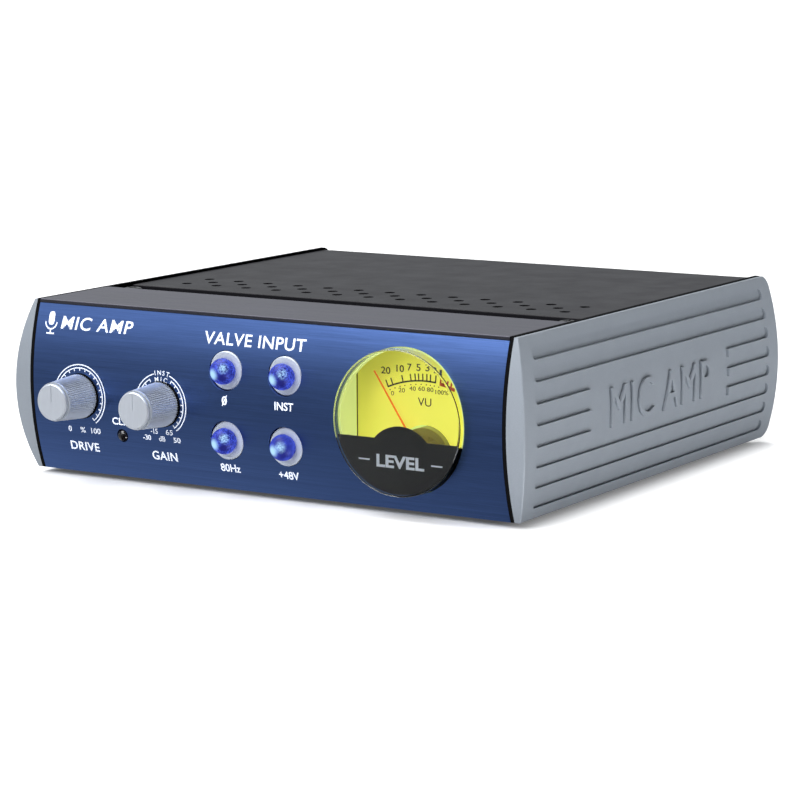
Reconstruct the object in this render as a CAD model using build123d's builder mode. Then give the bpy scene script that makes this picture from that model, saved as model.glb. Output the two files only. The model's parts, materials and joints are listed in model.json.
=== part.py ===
"""A compact single-channel microphone preamp with a valve stage, a level meter, two knobs and four buttons.

Millimetres, +Z up, the front facing -Y, the origin under the middle of the object, level with its feet.
"Depth" is measured back from the front panel's top and bottom edges, "height" up from the case's underside.
"""
from build123d import *
from math import cos, pi, radians, sin, sqrt
import os

# ---------------------------------------------------------------- driving dimensions
case_width = 138.0           # over the black side plates
case_height = 43.0           # underside to the rim, the height of one rack unit less its clearance
foot_height = 1.5
front_bow = 3.9              # how far the front swells forward at mid height
cheek_rear = 130.6           # depth of the cheeks' straight rear edge
cheek_corner = 3.0
knob_reach = 15.1            # how far the knobs stand forward of the front edges

sheet = 1.0                  # steel sheet
cover_sheet = 0.8
panel_thickness = 2.0
trim_thickness = 1.0
fit_gap = 0.05               # gap between neighbouring fixed panels, each side
rear_outer = 127.5           # depth of the rear panel's outer face
rear_inner = rear_outer - sheet

trim_rear = 27.0
cover_front = 37.5
cover_top = case_height - 0.65
channel_floor = case_height - 2.6
cover_tongue_front = 22.0

cheek_crown = 4.9            # cheek thickness at mid height
cheek_top_thickness = 1.0
cheek_bottom_thickness = 1.5
cheek_top = case_height - 0.2
cheek_edge_radius = 0.4
groove_count = 8
groove_pitch = 4.93
groove_height = 2.85
groove_depth = 0.7
groove_low = 4.12            # height of the lowest groove's centre line
groove_front_margin = 5.2
groove_rear = 124.9
plaque_front = 28.1          # the sunk field that interrupts the middle ribs
plaque_rear = 101.0

knob_places = {"drive": (-53.3, 19.9), "gain": (-28.3, 19.9)}
knob_base_radius = 5.55
knob_front_radius = 4.85
knob_ribs = 60
knob_rib_depth = 0.22
knob_gap = 0.4               # between the knob's skirt and the swollen panel
knob_cap_thickness = 0.75
pot_shaft_radius = 3.0
running_gap = 0.05

button_places = {
    "phase": (-9.1, 29.6),
    "instrument": (8.05, 29.6),
    "low_cut": (-9.1, 12.6),
    "phantom": (8.05, 12.6),
}
button_hole_radius = 4.85
collar_radius = 4.7
collar_depth = -3.05         # depth of the collar's flat front face
dome_radius = 3.2
dome_height = 4.4
button_stem_radius = 2.8
button_stem_bore = 2.0
button_stem_rear = 9.0
clip_place = (-40.9, 10.9)
lamp_radius = 1.5

meter_centre = (40.55, 21.35)
meter_pivot = (41.9, 12.3)
lens_radius = 17.3
lens_wall = 1.2
lens_window = 1.0            # thickness of the lens's flat front
lens_front = -6.7            # depth of the lens's flat front
lens_rim = 1.5
meter_wall_front = 2.2       # depth of the meter housing's front wall
meter_box = (40.0, 37.6, 19.4)
meter_box_centre = (41.9, 21.2)
dial_depth = 5.0
needle_depth = 3.3
needle_length = 23.0
needle_rest = 33.4           # degrees left of upright
core_radius = 3.55
coil_half_width = 4.6
yoke_bore = 4.95
yoke_radius = 6.7

control_board_depth = 14.0
board_thickness = 1.6
main_board_top = 7.6
connector_height = 20.0      # centre line of the round rear connectors and the power switch
xlr_input_x = -28.0
xlr_output_x = -1.0
jack_x = (-52.0, 20.0)
jack_height = 15.6
jack_bore = 3.25
inlet_place = (55.0, 14.0)
rocker_x = 38.0
rocker_tilt = 8.0            # degrees either side of level
tube_axis = (50.0, 20.5)     # depth and height of the valve's axis
tube_radius = 10.9

screw_radius = 1.45
screw_clearance = 1.7
screw_head_radius = 2.7
screw_head_height = 1.9

# ---------------------------------------------------------------- worked out from them
front_y = -(cheek_rear - knob_reach) / 2
mid_height = case_height / 2
inner_half = case_width / 2 - sheet
panel_half = inner_half - fit_gap
panel_top = case_height - trim_thickness
bow_radius = (mid_height**2 + front_bow**2) / (2 * front_bow)


def bow_depth(height, inset=0.0):
    """Depth of the swollen front at a height, or of the surface `inset` behind it."""
    return bow_radius - front_bow - sqrt((bow_radius - inset) ** 2 - (height - mid_height) ** 2)


def front_plane(depth, place=(0.0, 0.0)):
    """A plane that faces forward: local x is X and local y is height."""
    origin = (place[0], front_y + depth, foot_height + place[1])
    return Plane(origin=origin, x_dir=(1, 0, 0), z_dir=(0, -1, 0))


def rear_plane(depth, place=(0.0, 0.0)):
    """A plane that faces backward: local x is -X and local y is height."""
    origin = (place[0], front_y + depth, foot_height + place[1])
    return Plane(origin=origin, x_dir=(-1, 0, 0), z_dir=(0, 1, 0))


def side_plane(x):
    """A plane that faces right: local x is depth and local y is height."""
    return Plane(origin=(x, front_y, foot_height), x_dir=(0, 1, 0), z_dir=(1, 0, 0))


def top_plane(height):
    """A plane that faces up: local x is X and local y is depth."""
    return Plane(origin=(0, front_y, foot_height + height), x_dir=(1, 0, 0), z_dir=(0, 0, 1))


def write(builder, name):
    builder.part.label = name
    export_step(builder.part, f"parts/{name}.step")


os.makedirs("parts", exist_ok=True)

# ---------------------------------------------------------------- where the fasteners go
channel_screw_places = [(-64.5, 33.0), (64.5, 33.0)]
rear_flange_screw_x = (-50.0, 8.0, 50.0)
rear_flange_screw_height = 38.7
rear_side_screw_places = [(x, h) for x in (-64.5, 64.5) for h in (8.0, 32.0)]
xlr_screw_offsets = [(-9.5, 12.0), (9.5, -12.0)]
xlr_screw_places = [
    (x + dx, connector_height + dz) for x in (xlr_input_x, xlr_output_x) for dx, dz in xlr_screw_offsets
]
base_screw_places = [(x, d) for x in (-64.0, 64.0) for d in (24.0, 66.0, 112.0)]
board_post_places = [(x, d) for x in (-55.0, 55.0) for d in (32.0, 70.0, 94.0)]
cheek_screw_depths = (40.0, 66.0, 92.0)
panel_stud_places = [(x, h) for x in (-65.4, 65.4) for h in (12.0, 31.0)]
stud_radius = 1.2
stud_rear = 6.4
tab_front = 2.9

# ---------------------------------------------------------------- cross-recessed screws
screw_shank = 6.0
recess_length = 2.8
recess_width = 0.6


def screw_shape(head_radius, head_height, shank=screw_shank):
    """One screw, head up, with the underside of its head at the origin."""
    with BuildPart() as screw:
        with BuildSketch(Plane.XY):
            Circle(head_radius)
        extrude(amount=head_height)
        fillet(screw.edges().group_by(Axis.Z)[-1], radius=0.6 * head_height)
        with BuildSketch(Plane.XY.offset(head_height)):
            Rectangle(recess_length, recess_width)
            Rectangle(recess_width, recess_length)
        extrude(amount=-0.55 * head_height, mode=Mode.SUBTRACT)
        with BuildSketch(Plane.XY):
            Circle(screw_radius)
        extrude(amount=-shank)
    return screw


pan_screw = screw_shape(screw_head_radius, screw_head_height)


def screw_group(planes, shape=pan_screw):
    """Screws whose heads stand on the given planes."""
    with BuildPart() as screws:
        with Locations(*planes):
            add(shape.part)
    return screws


# ---------------------------------------------------------------- front panel
with BuildPart() as front_panel:
    with BuildSketch(side_plane(-panel_half)):
        with BuildLine():
            ThreePointArc(
                (bow_depth(0), 0), (-front_bow, mid_height), (bow_depth(panel_top), panel_top)
            )
            Line((bow_depth(panel_top), panel_top), (bow_depth(panel_top, panel_thickness), panel_top))
            ThreePointArc(
                (bow_depth(panel_top, panel_thickness), panel_top),
                (panel_thickness - front_bow, mid_height),
                (bow_depth(0, panel_thickness), 0),
            )
            Line((bow_depth(0, panel_thickness), 0), (bow_depth(0), 0))
        make_face()
    extrude(amount=2 * panel_half)
    with BuildSketch(front_plane(lens_front)):
        with Locations(*knob_places.values()):
            Circle(pot_shaft_radius + 0.5)
        with Locations(*button_places.values()):
            Circle(button_hole_radius)
        with Locations(meter_centre):
            Circle(lens_radius + 0.15)
        with Locations(clip_place):
            Circle(lamp_radius + 0.15)
    extrude(amount=-12.0, mode=Mode.SUBTRACT)
    with BuildSketch(front_plane(stud_rear)):
        with Locations(*panel_stud_places):
            Circle(stud_radius)
    extrude(amount=stud_rear + 2.0)
write(front_panel, "front_panel")

with BuildPart() as front_panel_nuts:
    with BuildSketch(front_plane(tab_front + sheet)):
        with Locations(*panel_stud_places):
            RegularPolygon(radius=2.4, side_count=6)
            Circle(stud_radius, mode=Mode.SUBTRACT)
    extrude(amount=-1.8)
write(front_panel_nuts, "front_panel_nuts")

# ---------------------------------------------------------------- trim behind the front panel's top edge
with BuildPart() as front_top_trim:
    with BuildSketch(side_plane(-panel_half)):
        with BuildLine():
            FilletPolyline(
                (bow_depth(panel_top), panel_top),
                (bow_depth(panel_top), case_height),
                (trim_rear, case_height),
                (trim_rear, channel_floor),
                (trim_rear - trim_thickness, channel_floor),
                (trim_rear - trim_thickness, panel_top),
                radius=0.25,
                close=True,
            )
        make_face()
    extrude(amount=2 * panel_half)
write(front_top_trim, "front_top_trim")

# -------------------------------------------------------- top cover: stepped in front, turned down behind
vent_radius = 1.35
vent_pitch = 9.42
vent_rows = ((46.0, 13), (51.0, 12), (56.0, 13))
rear_flange_low = 35.4
with BuildPart() as top_cover:
    with BuildSketch(side_plane(-panel_half)):
        with BuildLine():
            FilletPolyline(
                (cover_tongue_front, channel_floor),
                (cover_front, channel_floor),
                (cover_front, cover_top),
                (rear_outer + cover_sheet, cover_top),
                (rear_outer + cover_sheet, rear_flange_low),
                (rear_outer, rear_flange_low),
                (rear_outer, cover_top - cover_sheet),
                (cover_front + cover_sheet, cover_top - cover_sheet),
                (cover_front + cover_sheet, channel_floor - cover_sheet),
                (cover_tongue_front, channel_floor - cover_sheet),
                radius=0.35,
                close=True,
            )
        make_face()
    extrude(amount=2 * panel_half)
    with BuildSketch(top_plane(cover_top)):
        for row_depth, count in vent_rows:
            with Locations((0, row_depth)):
                with GridLocations(vent_pitch, 1, count, 1):
                    Circle(vent_radius)
        with Locations(*channel_screw_places):
            Circle(screw_clearance)
    extrude(amount=-4.0, mode=Mode.SUBTRACT)
    with BuildSketch(front_plane(rear_outer)):
        with Locations(*[(x, rear_flange_screw_height) for x in rear_flange_screw_x]):
            Circle(screw_clearance)
    extrude(amount=-cover_sheet, mode=Mode.SUBTRACT)
write(top_cover, "top_cover")

# ---------------------------------------------------------------- base plate and feet
with BuildPart() as base_plate:
    with BuildSketch(top_plane(0)):
        with Locations((0, (panel_thickness + 0.3 + rear_outer) / 2)):
            Rectangle(2 * panel_half, rear_outer - panel_thickness - 0.3)
        with Locations(*base_screw_places):
            Circle(screw_clearance, mode=Mode.SUBTRACT)
    extrude(amount=sheet)
write(base_plate, "base_plate")

with BuildPart() as rubber_feet:
    with BuildSketch(top_plane(0)):
        with Locations(*[(x, d) for x in (-52.0, 52.0) for d in (16.0, 114.0)]):
            Circle(6.0)
    extrude(amount=-foot_height)
    fillet(rubber_feet.edges().group_by(Axis.Z)[0], radius=0.5)
write(rubber_feet, "rubber_feet")

# ---------------------------------------------------------------- side plates
flange_inner = 60.0
base_flange = (66.0, 112.0)      # depth of its middle, and length
cover_tab = (33.0, 10.0)
rear_tab = (20.0, 34.0)          # height of its middle, and height
stud_tab_inner = 63.0
stud_tab_height = 31.0
with BuildPart() as right_side_plate:
    with BuildSketch(side_plane(inner_half)):
        with BuildLine():
            ThreePointArc((0, 0), (-front_bow, mid_height), (0, case_height))
            FilletPolyline(
                (0, case_height), (cheek_rear, case_height), (cheek_rear, 0), (0, 0), radius=cheek_corner
            )
        make_face()
    extrude(amount=sheet)
    with BuildSketch(top_plane(sheet)):
        with Locations(((flange_inner + inner_half) / 2, base_flange[0])):
            Rectangle(inner_half - flange_inner, base_flange[1])
        with Locations(*[place for place in base_screw_places if place[0] > 0]):
            Circle(screw_clearance, mode=Mode.SUBTRACT)
    extrude(amount=sheet)
    with BuildSketch(top_plane(channel_floor - cover_sheet - sheet)):
        with Locations(((flange_inner + inner_half) / 2, cover_tab[0])):
            Rectangle(inner_half - flange_inner, cover_tab[1])
        with Locations(channel_screw_places[1]):
            Circle(screw_radius, mode=Mode.SUBTRACT)
    extrude(amount=sheet)
    with BuildSketch(front_plane(tab_front)):
        with Locations(((stud_tab_inner + inner_half) / 2, mid_height)):
            Rectangle(inner_half - stud_tab_inner, stud_tab_height)
        with Locations(*[place for place in panel_stud_places if place[0] > 0]):
            Circle(stud_radius + 0.2, mode=Mode.SUBTRACT)
    extrude(amount=-sheet)
    with BuildSketch(front_plane(rear_inner - sheet)):
        with Locations(((flange_inner + inner_half) / 2, rear_tab[0])):
            Rectangle(inner_half - flange_inner, rear_tab[1])
        with Locations(*[place for place in rear_side_screw_places if place[0] > 0]):
            Circle(screw_radius, mode=Mode.SUBTRACT)
    extrude(amount=-sheet)
    with BuildSketch(side_plane(inner_half)):
        with Locations(*[(depth, mid_height) for depth in cheek_screw_depths]):
            Circle(screw_clearance)
    extrude(amount=sheet, mode=Mode.SUBTRACT)
write(right_side_plate, "right_side_plate")

with BuildPart() as left_side_plate:
    mirror(right_side_plate.part, about=Plane.YZ)
write(left_side_plate, "left_side_plate")

# ---------------------------------------------------------------- moulded cheeks
cheek_inner = case_width / 2


def crowned_slab(sunk):
    """The cheek's lens-shaped section run front to back, its outer face sunk by some depth."""
    with BuildPart() as slab:
        with BuildSketch(front_plane(-front_bow - 1.0)):
            with BuildLine():
                ThreePointArc(
                    (cheek_inner + cheek_bottom_thickness - sunk, 0),
                    (cheek_inner + cheek_crown - sunk, mid_height),
                    (cheek_inner + cheek_top_thickness - sunk, cheek_top),
                )
                Polyline(
                    (cheek_inner + cheek_top_thickness - sunk, cheek_top),
                    (cheek_inner, cheek_top),
                    (cheek_inner, 0),
                    (cheek_inner + cheek_bottom_thickness - sunk, 0),
                )
            make_face()
        extrude(amount=-(cheek_rear + front_bow + 2.0))
    return slab


with BuildPart() as groove_cutter:
    with BuildSketch(side_plane(cheek_inner)):
        for row in range(groove_count):
            height = groove_low + row * groove_pitch
            start = bow_depth(height) + groove_front_margin
            with Locations(((start + groove_rear) / 2, height)):
                SlotOverall(groove_rear - start, groove_height)
        plaque_low = groove_low + 2 * groove_pitch - groove_height / 2
        plaque_high = groove_low + 5 * groove_pitch + groove_height / 2
        with Locations(((plaque_front + plaque_rear) / 2, (plaque_low + plaque_high) / 2)):
            Rectangle(plaque_rear - plaque_front, plaque_high - plaque_low)
    extrude(amount=cheek_crown + 1.0)
    add(crowned_slab(groove_depth).part, mode=Mode.SUBTRACT)

with BuildPart() as right_cheek:
    add(crowned_slab(0.0).part)
    with BuildSketch(side_plane(cheek_inner)):
        with BuildLine():
            ThreePointArc((0, 0), (-front_bow, mid_height), (0, case_height))
            FilletPolyline(
                (0, case_height), (cheek_rear, case_height), (cheek_rear, 0), (0, 0), radius=cheek_corner
            )
        make_face()
    extrude(amount=cheek_crown + 1.0, mode=Mode.INTERSECT)
    fillet(right_cheek.faces().sort_by(Axis.X)[-1].edges(), radius=cheek_edge_radius)
    add(groove_cutter.part, mode=Mode.SUBTRACT)
    with BuildSketch(side_plane(cheek_inner)):
        with Locations(*[(depth, mid_height) for depth in cheek_screw_depths]):
            Circle(screw_radius)
    extrude(amount=3.6, mode=Mode.SUBTRACT)
write(right_cheek, "right_cheek")

with BuildPart() as left_cheek:
    mirror(right_cheek.part, about=Plane.YZ)
write(left_cheek, "left_cheek")

cheek_screw_head = 1.4
with BuildPart() as cheek_screws:
    with BuildSketch(side_plane(inner_half)):
        with Locations(*[(depth, mid_height) for depth in cheek_screw_depths]):
            Circle(screw_head_radius)
    extrude(amount=-cheek_screw_head)
    with BuildSketch(side_plane(inner_half)):
        with Locations(*[(depth, mid_height) for depth in cheek_screw_depths]):
            Circle(screw_radius)
    extrude(amount=sheet + 3.4)
    mirror(about=Plane.YZ)
write(cheek_screws, "cheek_screws")

# ---------------------------------------------------------------- rear panel and its screws
xlr_body_radius = 11.8
jack_nose_radius = 4.7
inlet_nose_radius = 4.0
switch_body = (12.8, 18.8)
with BuildPart() as rear_panel:
    rear_low = sheet
    rear_high = cover_top - cover_sheet - 0.45
    with BuildSketch(front_plane(rear_inner)):
        with Locations((0, (rear_low + rear_high) / 2)):
            Rectangle(2 * panel_half, rear_high - rear_low)
        with Locations((xlr_input_x, connector_height), (xlr_output_x, connector_height)):
            Circle(xlr_body_radius + 0.2, mode=Mode.SUBTRACT)
        with Locations(*[(x, jack_height) for x in jack_x]):
            Circle(jack_nose_radius + 0.2, mode=Mode.SUBTRACT)
        with Locations(inlet_place):
            Circle(inlet_nose_radius + 0.2, mode=Mode.SUBTRACT)
        with Locations((rocker_x, connector_height)):
            Rectangle(switch_body[0] + 0.2, switch_body[1] + 0.2, mode=Mode.SUBTRACT)
        with Locations(*rear_side_screw_places):
            Circle(screw_clearance, mode=Mode.SUBTRACT)
        with Locations(*[(x, rear_flange_screw_height) for x in rear_flange_screw_x], *xlr_screw_places):
            Circle(screw_radius, mode=Mode.SUBTRACT)
    extrude(amount=-sheet)
write(rear_panel, "rear_panel")

base_screw = screw_shape(screw_head_radius, 1.2, shank=4.0)
flange_screw_places = [(x, rear_flange_screw_height) for x in rear_flange_screw_x]
with BuildPart() as case_screws:
    add(
        screw_group(
            [Plane(origin=(x, front_y + d, foot_height + channel_floor)) for x, d in channel_screw_places]
            + [rear_plane(rear_outer + cover_sheet, place) for place in flange_screw_places]
            + [rear_plane(rear_outer, place) for place in rear_side_screw_places]
        ).part
    )
    add(
        screw_group(
            [Plane(origin=(x, front_y + d, foot_height), z_dir=(0, 0, -1)) for x, d in base_screw_places],
            base_screw,
        ).part
    )
write(case_screws, "case_screws")

# ---------------------------------------------------------------- knobs, pot shafts and pots
knob_base_depth = -front_bow - knob_gap
knob_rim_depth = -knob_reach + knob_cap_thickness
shaft_front = -knob_reach + 2.1
pot_front = 7.4


def rib_outline(radius):
    """Points of a knurled ring: a crest and a valley for each rib."""
    points = []
    for step in range(2 * knob_ribs):
        angle = pi * step / knob_ribs
        reach = radius - knob_rib_depth * (step % 2)
        points.append((reach * cos(angle), reach * sin(angle)))
    return points


def knob(place):
    """A tapered, finely ribbed knob with a smooth band at its front and a bore for the shaft."""
    rib_front = knob_rim_depth + 0.75
    band_front = knob_rim_depth + 0.35
    with BuildPart() as body:
        with BuildSketch(front_plane(knob_base_depth, place)):
            Polygon(*rib_outline(knob_base_radius), align=None)
        with BuildSketch(front_plane(rib_front, place)):
            Polygon(*rib_outline(knob_front_radius), align=None)
        loft(ruled=True)
        with BuildSketch(front_plane(rib_front, place)):
            Circle(knob_front_radius)
        extrude(amount=rib_front - band_front)
        with BuildSketch(front_plane(band_front, place)):
            Circle(knob_front_radius - 0.7)
        extrude(amount=band_front - knob_rim_depth)
        with BuildSketch(front_plane(knob_base_depth, place)):
            Circle(pot_shaft_radius)
        extrude(amount=knob_base_depth - shaft_front, mode=Mode.SUBTRACT)
    return body


def knob_cap(place):
    """The knob's bright end disc, with a fine pointer line cut from its centre to its edge."""
    with BuildPart() as cap:
        with BuildSketch(front_plane(knob_rim_depth, place)):
            Circle(knob_front_radius - 0.35)
        extrude(amount=knob_cap_thickness)
        chamfer(cap.edges().group_by(Axis.Y)[0], length=0.25)
        with BuildSketch(front_plane(-knob_reach, place)):
            with Locations((0, knob_front_radius / 2)):
                Rectangle(0.22, knob_front_radius)
        extrude(amount=-0.1, mode=Mode.SUBTRACT)
    return cap


def pot_shaft(place):
    with BuildPart() as shaft:
        with BuildSketch(front_plane(pot_front + 1.0, place)):
            Circle(pot_shaft_radius)
        extrude(amount=pot_front + 1.0 - shaft_front)
    return shaft


for control, place in knob_places.items():
    write(knob(place), f"{control}_knob")
    write(knob_cap(place), f"{control}_knob_cap")
    write(pot_shaft(place), f"{control}_pot_shaft")

with BuildPart() as potentiometers:
    with BuildSketch(front_plane(pot_front)):
        with Locations(*knob_places.values()):
            Rectangle(10.0, 11.5)
    extrude(amount=-(control_board_depth - pot_front))
    with BuildSketch(front_plane(0.5)):
        with Locations(*knob_places.values()):
            Circle(pot_shaft_radius + running_gap + 0.9)
    extrude(amount=-(pot_front - 0.5))
    with BuildSketch(front_plane(0.5)):
        with Locations(*knob_places.values()):
            Circle(pot_shaft_radius + running_gap)
    extrude(amount=-(pot_front + 1.5 - 0.5), mode=Mode.SUBTRACT)
write(potentiometers, "potentiometers")

# ---------------------------------------------------------------- illuminated buttons
stem_length = button_stem_rear - collar_depth
shoulder = 1.3               # height of the dome's widest line above the collar
shoulder_height = 0.3
collar_thickness = 1.0
sleeve_radius = button_stem_radius + 0.6
sleeve_length = 5.0

with BuildPart() as dome_shape:
    with BuildSketch(Plane.XZ):
        with BuildLine():
            ThreePointArc(
                (0, dome_height),
                (0.74 * dome_radius, shoulder + 0.68 * (dome_height - shoulder)),
                (dome_radius, shoulder),
            )
            Polyline(
                (dome_radius, shoulder),
                (dome_radius, shoulder - shoulder_height),
                (button_stem_radius, shoulder - 2 * shoulder_height),
                (button_stem_radius, -stem_length),
                (button_stem_bore, -stem_length),
                (button_stem_bore, -0.6),
                (0, 0.2),
                (0, dome_height),
            )
        make_face()
    revolve(axis=Axis.Z)

with BuildPart() as collar_shape:
    with BuildSketch(Plane.XY):
        Circle(collar_radius)
    extrude(amount=-collar_thickness)
    chamfer(collar_shape.edges().group_by(Axis.Z)[-1], length=0.2)
    with BuildSketch(Plane.XY.offset(-collar_thickness)):
        Circle(sleeve_radius)
    extrude(amount=-(sleeve_length - collar_thickness))
    with BuildSketch(Plane.XY):
        Circle(button_stem_radius)
    extrude(amount=-sleeve_length, mode=Mode.SUBTRACT)


def placed(shape, plane):
    with BuildPart() as copy:
        with Locations(plane):
            add(shape.part)
    return copy


for button, place in button_places.items():
    write(placed(dome_shape, front_plane(collar_depth, place)), f"{button}_button_cap")
    write(placed(collar_shape, front_plane(collar_depth, place)), f"{button}_button_collar")

switch_front = 5.0
with BuildPart() as button_switches:
    with BuildSketch(front_plane(switch_front)):
        with Locations(*button_places.values()):
            Rectangle(9.0, 9.0)
            Circle(button_stem_radius + 0.3, mode=Mode.SUBTRACT)
    extrude(amount=-(control_board_depth - switch_front))
write(button_switches, "button_switches")


def lamp_group(places, tip, seat):
    """Round-nosed lamps standing forward from a seat to a tip."""
    with BuildPart() as lamps:
        with BuildSketch(front_plane(tip)):
            with Locations(*places):
                Circle(lamp_radius)
        extrude(amount=-(seat - tip))
        fillet(lamps.edges().filter_by(GeomType.CIRCLE).group_by(Axis.Y)[0], radius=lamp_radius - 0.1)
    return lamps


write(lamp_group(list(button_places.values()), 6.0, control_board_depth), "button_lamps")
write(lamp_group([clip_place], bow_depth(clip_place[1]) - 0.9, control_board_depth), "clip_lamp")

# ---------------------------------------------------------------- level meter
with BuildPart() as lens_cavity:
    with BuildSketch(front_plane(lens_front + lens_window, meter_centre)):
        Circle(lens_radius - lens_wall)
    extrude(amount=-(meter_wall_front - lens_front - lens_window))
    fillet(lens_cavity.edges().group_by(Axis.Y)[0], radius=lens_rim - lens_window)

with BuildPart() as meter_lens:
    with BuildSketch(front_plane(lens_front, meter_centre)):
        Circle(lens_radius)
    extrude(amount=-(meter_wall_front - lens_front))
    fillet(meter_lens.edges().group_by(Axis.Y)[0], radius=lens_rim)
    add(lens_cavity.part, mode=Mode.SUBTRACT)
write(meter_lens, "meter_lens")

mask_depth = lens_front + lens_window + 0.05
mask_rear = 1.2
mask_thickness = 0.3
mask_radius = lens_radius - lens_wall - 0.05
mask_corner = 0.5
mask_edge = 17.5
hump_radius = 9.5
hump_place = (41.5, 11.2)
with BuildPart() as meter_mask:
    with BuildSketch(front_plane(mask_depth)):
        with Locations((meter_centre[0], mask_edge - mask_radius)):
            Rectangle(2 * mask_radius, 2 * mask_radius)
        with Locations(hump_place):
            Circle(hump_radius)
        with Locations(meter_centre):
            Circle(mask_radius - mask_corner, mode=Mode.INTERSECT)
    extrude(amount=-mask_thickness)
    with BuildSketch(front_plane(mask_depth)):
        with Locations((meter_centre[0], mask_edge - mask_radius)):
            Rectangle(2 * mask_radius, 2 * mask_radius)
        with Locations(meter_centre):
            Circle(mask_radius - mask_corner, mode=Mode.INTERSECT)
            Circle(mask_radius - mask_corner - mask_thickness, mode=Mode.SUBTRACT)
    extrude(amount=-(mask_rear - mask_depth))
write(meter_mask, "meter_mask")

meter_skin = 1.2
meter_rear = meter_wall_front + meter_box[2]
boss_front = 16.0
with BuildPart() as meter_housing:
    with BuildSketch(front_plane(meter_wall_front, meter_box_centre)):
        RectangleRounded(meter_box[0], meter_box[1], 1.5)
    extrude(amount=-meter_box[2])
    with BuildSketch(front_plane(meter_wall_front + 0.8, meter_box_centre)):
        RectangleRounded(meter_box[0] - 2 * meter_skin, meter_box[1] - 2 * meter_skin, 0.6)
    extrude(amount=-(meter_box[2] - 0.8 - meter_skin), mode=Mode.SUBTRACT)
    with BuildSketch(front_plane(meter_wall_front, meter_centre)):
        Circle(lens_radius - lens_wall)
    extrude(amount=-0.8, mode=Mode.SUBTRACT)
    with BuildSketch(front_plane(boss_front, meter_pivot)):
        Circle(yoke_radius)
        Circle(5.2, mode=Mode.SUBTRACT)
    extrude(amount=-(meter_rear - meter_skin - boss_front))
write(meter_housing, "meter_housing")

dial_thickness = 0.5
dial_cutout = 7.3
dial_width = meter_box[0] - 2 * meter_skin - 0.4
dial_height = meter_box[1] - 2 * meter_skin - 0.4
with BuildPart() as meter_dial:
    with BuildSketch(front_plane(dial_depth)):
        with Locations(meter_box_centre):
            Rectangle(dial_width, dial_height)
        with Locations(meter_pivot):
            Circle(dial_cutout, mode=Mode.SUBTRACT)
        with Locations((meter_pivot[0], meter_pivot[1] - 6.0)):
            Rectangle(2 * dial_cutout, 12.0, mode=Mode.SUBTRACT)
    extrude(amount=-dial_thickness)
write(meter_dial, "meter_dial")

yoke_front = 4.4
core_front = 5.1
core_rear = 15.1
with BuildPart() as meter_magnet:
    with BuildSketch(front_plane(yoke_front, meter_pivot)):
        Circle(yoke_radius)
        Circle(yoke_bore, mode=Mode.SUBTRACT)
    extrude(amount=-(boss_front - yoke_front))
    with BuildSketch(front_plane(core_front, meter_pivot)):
        Circle(core_radius)
        Rectangle(1.6, 2 * yoke_bore + 0.4)
    extrude(amount=-(core_rear - core_front))
write(meter_magnet, "meter_magnet")

staff_radius = 0.4
bridge_front = 2.6
bridge_rear = 17.0
with BuildPart() as meter_bridges:
    with BuildSketch(front_plane(bridge_front, meter_pivot)):
        Rectangle(2 * yoke_radius - 1.0, 2.4)
        Circle(staff_radius + running_gap, mode=Mode.SUBTRACT)
    extrude(amount=-0.4)
    with BuildSketch(front_plane(bridge_front + 0.4, meter_pivot)):
        with Locations((5.6, 0), (-5.6, 0)):
            Rectangle(1.2, 2.4)
    extrude(amount=-(yoke_front - bridge_front - 0.4))
    with BuildSketch(front_plane(bridge_rear, meter_pivot)):
        Circle(5.2)
        Circle(staff_radius + running_gap, mode=Mode.SUBTRACT)
    extrude(amount=-0.6)
write(meter_bridges, "meter_bridges")


def needle_plane(depth):
    """Faces forward at the pivot, with local y along the needle at rest."""
    origin = (meter_pivot[0], front_y + depth, foot_height + meter_pivot[1])
    lean = radians(needle_rest)
    return Plane(origin=origin, x_dir=(cos(lean), 0, sin(lean)), z_dir=(0, -1, 0))


coil_front = core_front - 1.05
coil_rear = core_rear + 1.05
coil_length = coil_rear - coil_front
coil_half_height = 0.9
needle_tail = 4.0
with BuildPart() as meter_coil:
    with BuildSketch(needle_plane(coil_front)):
        Rectangle(2 * coil_half_width, 2 * coil_half_height)
    extrude(amount=-coil_length)
    with BuildSketch(needle_plane(coil_front + 0.75)):
        Rectangle(2 * coil_half_width - 1.5, 2 * coil_half_height + 1.0)
    extrude(amount=-(coil_length - 1.5), mode=Mode.SUBTRACT)
    with BuildSketch(needle_plane(bridge_front - 0.1)):
        Circle(staff_radius)
    extrude(amount=-(coil_front - bridge_front + 0.1))
    with BuildSketch(needle_plane(coil_rear)):
        Circle(staff_radius)
    extrude(amount=-(bridge_rear + 0.5 - coil_rear))
write(meter_coil, "meter_coil")

with BuildPart() as meter_needle:
    with BuildSketch(needle_plane(needle_depth)):
        with BuildLine():
            Polyline(
                (-0.3, -needle_tail),
                (-0.22, 0),
                (-0.12, needle_length),
                (0.12, needle_length),
                (0.22, 0),
                (0.3, -needle_tail),
                close=True,
            )
        make_face()
        Circle(1.2)
        with Locations((0, -3.6)):
            Circle(0.8)
        Circle(staff_radius, mode=Mode.SUBTRACT)
    extrude(amount=-0.3)
write(meter_needle, "meter_needle")

meter_lamp_places = [(meter_pivot[0] + side * 9.2, meter_pivot[1] - 0.8) for side in (-1, 1)]
write(lamp_group(meter_lamp_places, 1.6, dial_depth), "meter_lamps")

# ---------------------------------------------------------------- circuit boards and what stands on them
main_board_low = main_board_top - board_thickness
control_board_centre = (-23.3, 21.0)
control_board_size = (85.0, 35.0)
main_board_middle = 74.0
main_board_size = (118.0, 98.0)
with BuildPart() as control_board:
    with BuildSketch(front_plane(control_board_depth)):
        with Locations(control_board_centre):
            Rectangle(*control_board_size)
    extrude(amount=-board_thickness)
write(control_board, "control_board")

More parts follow.
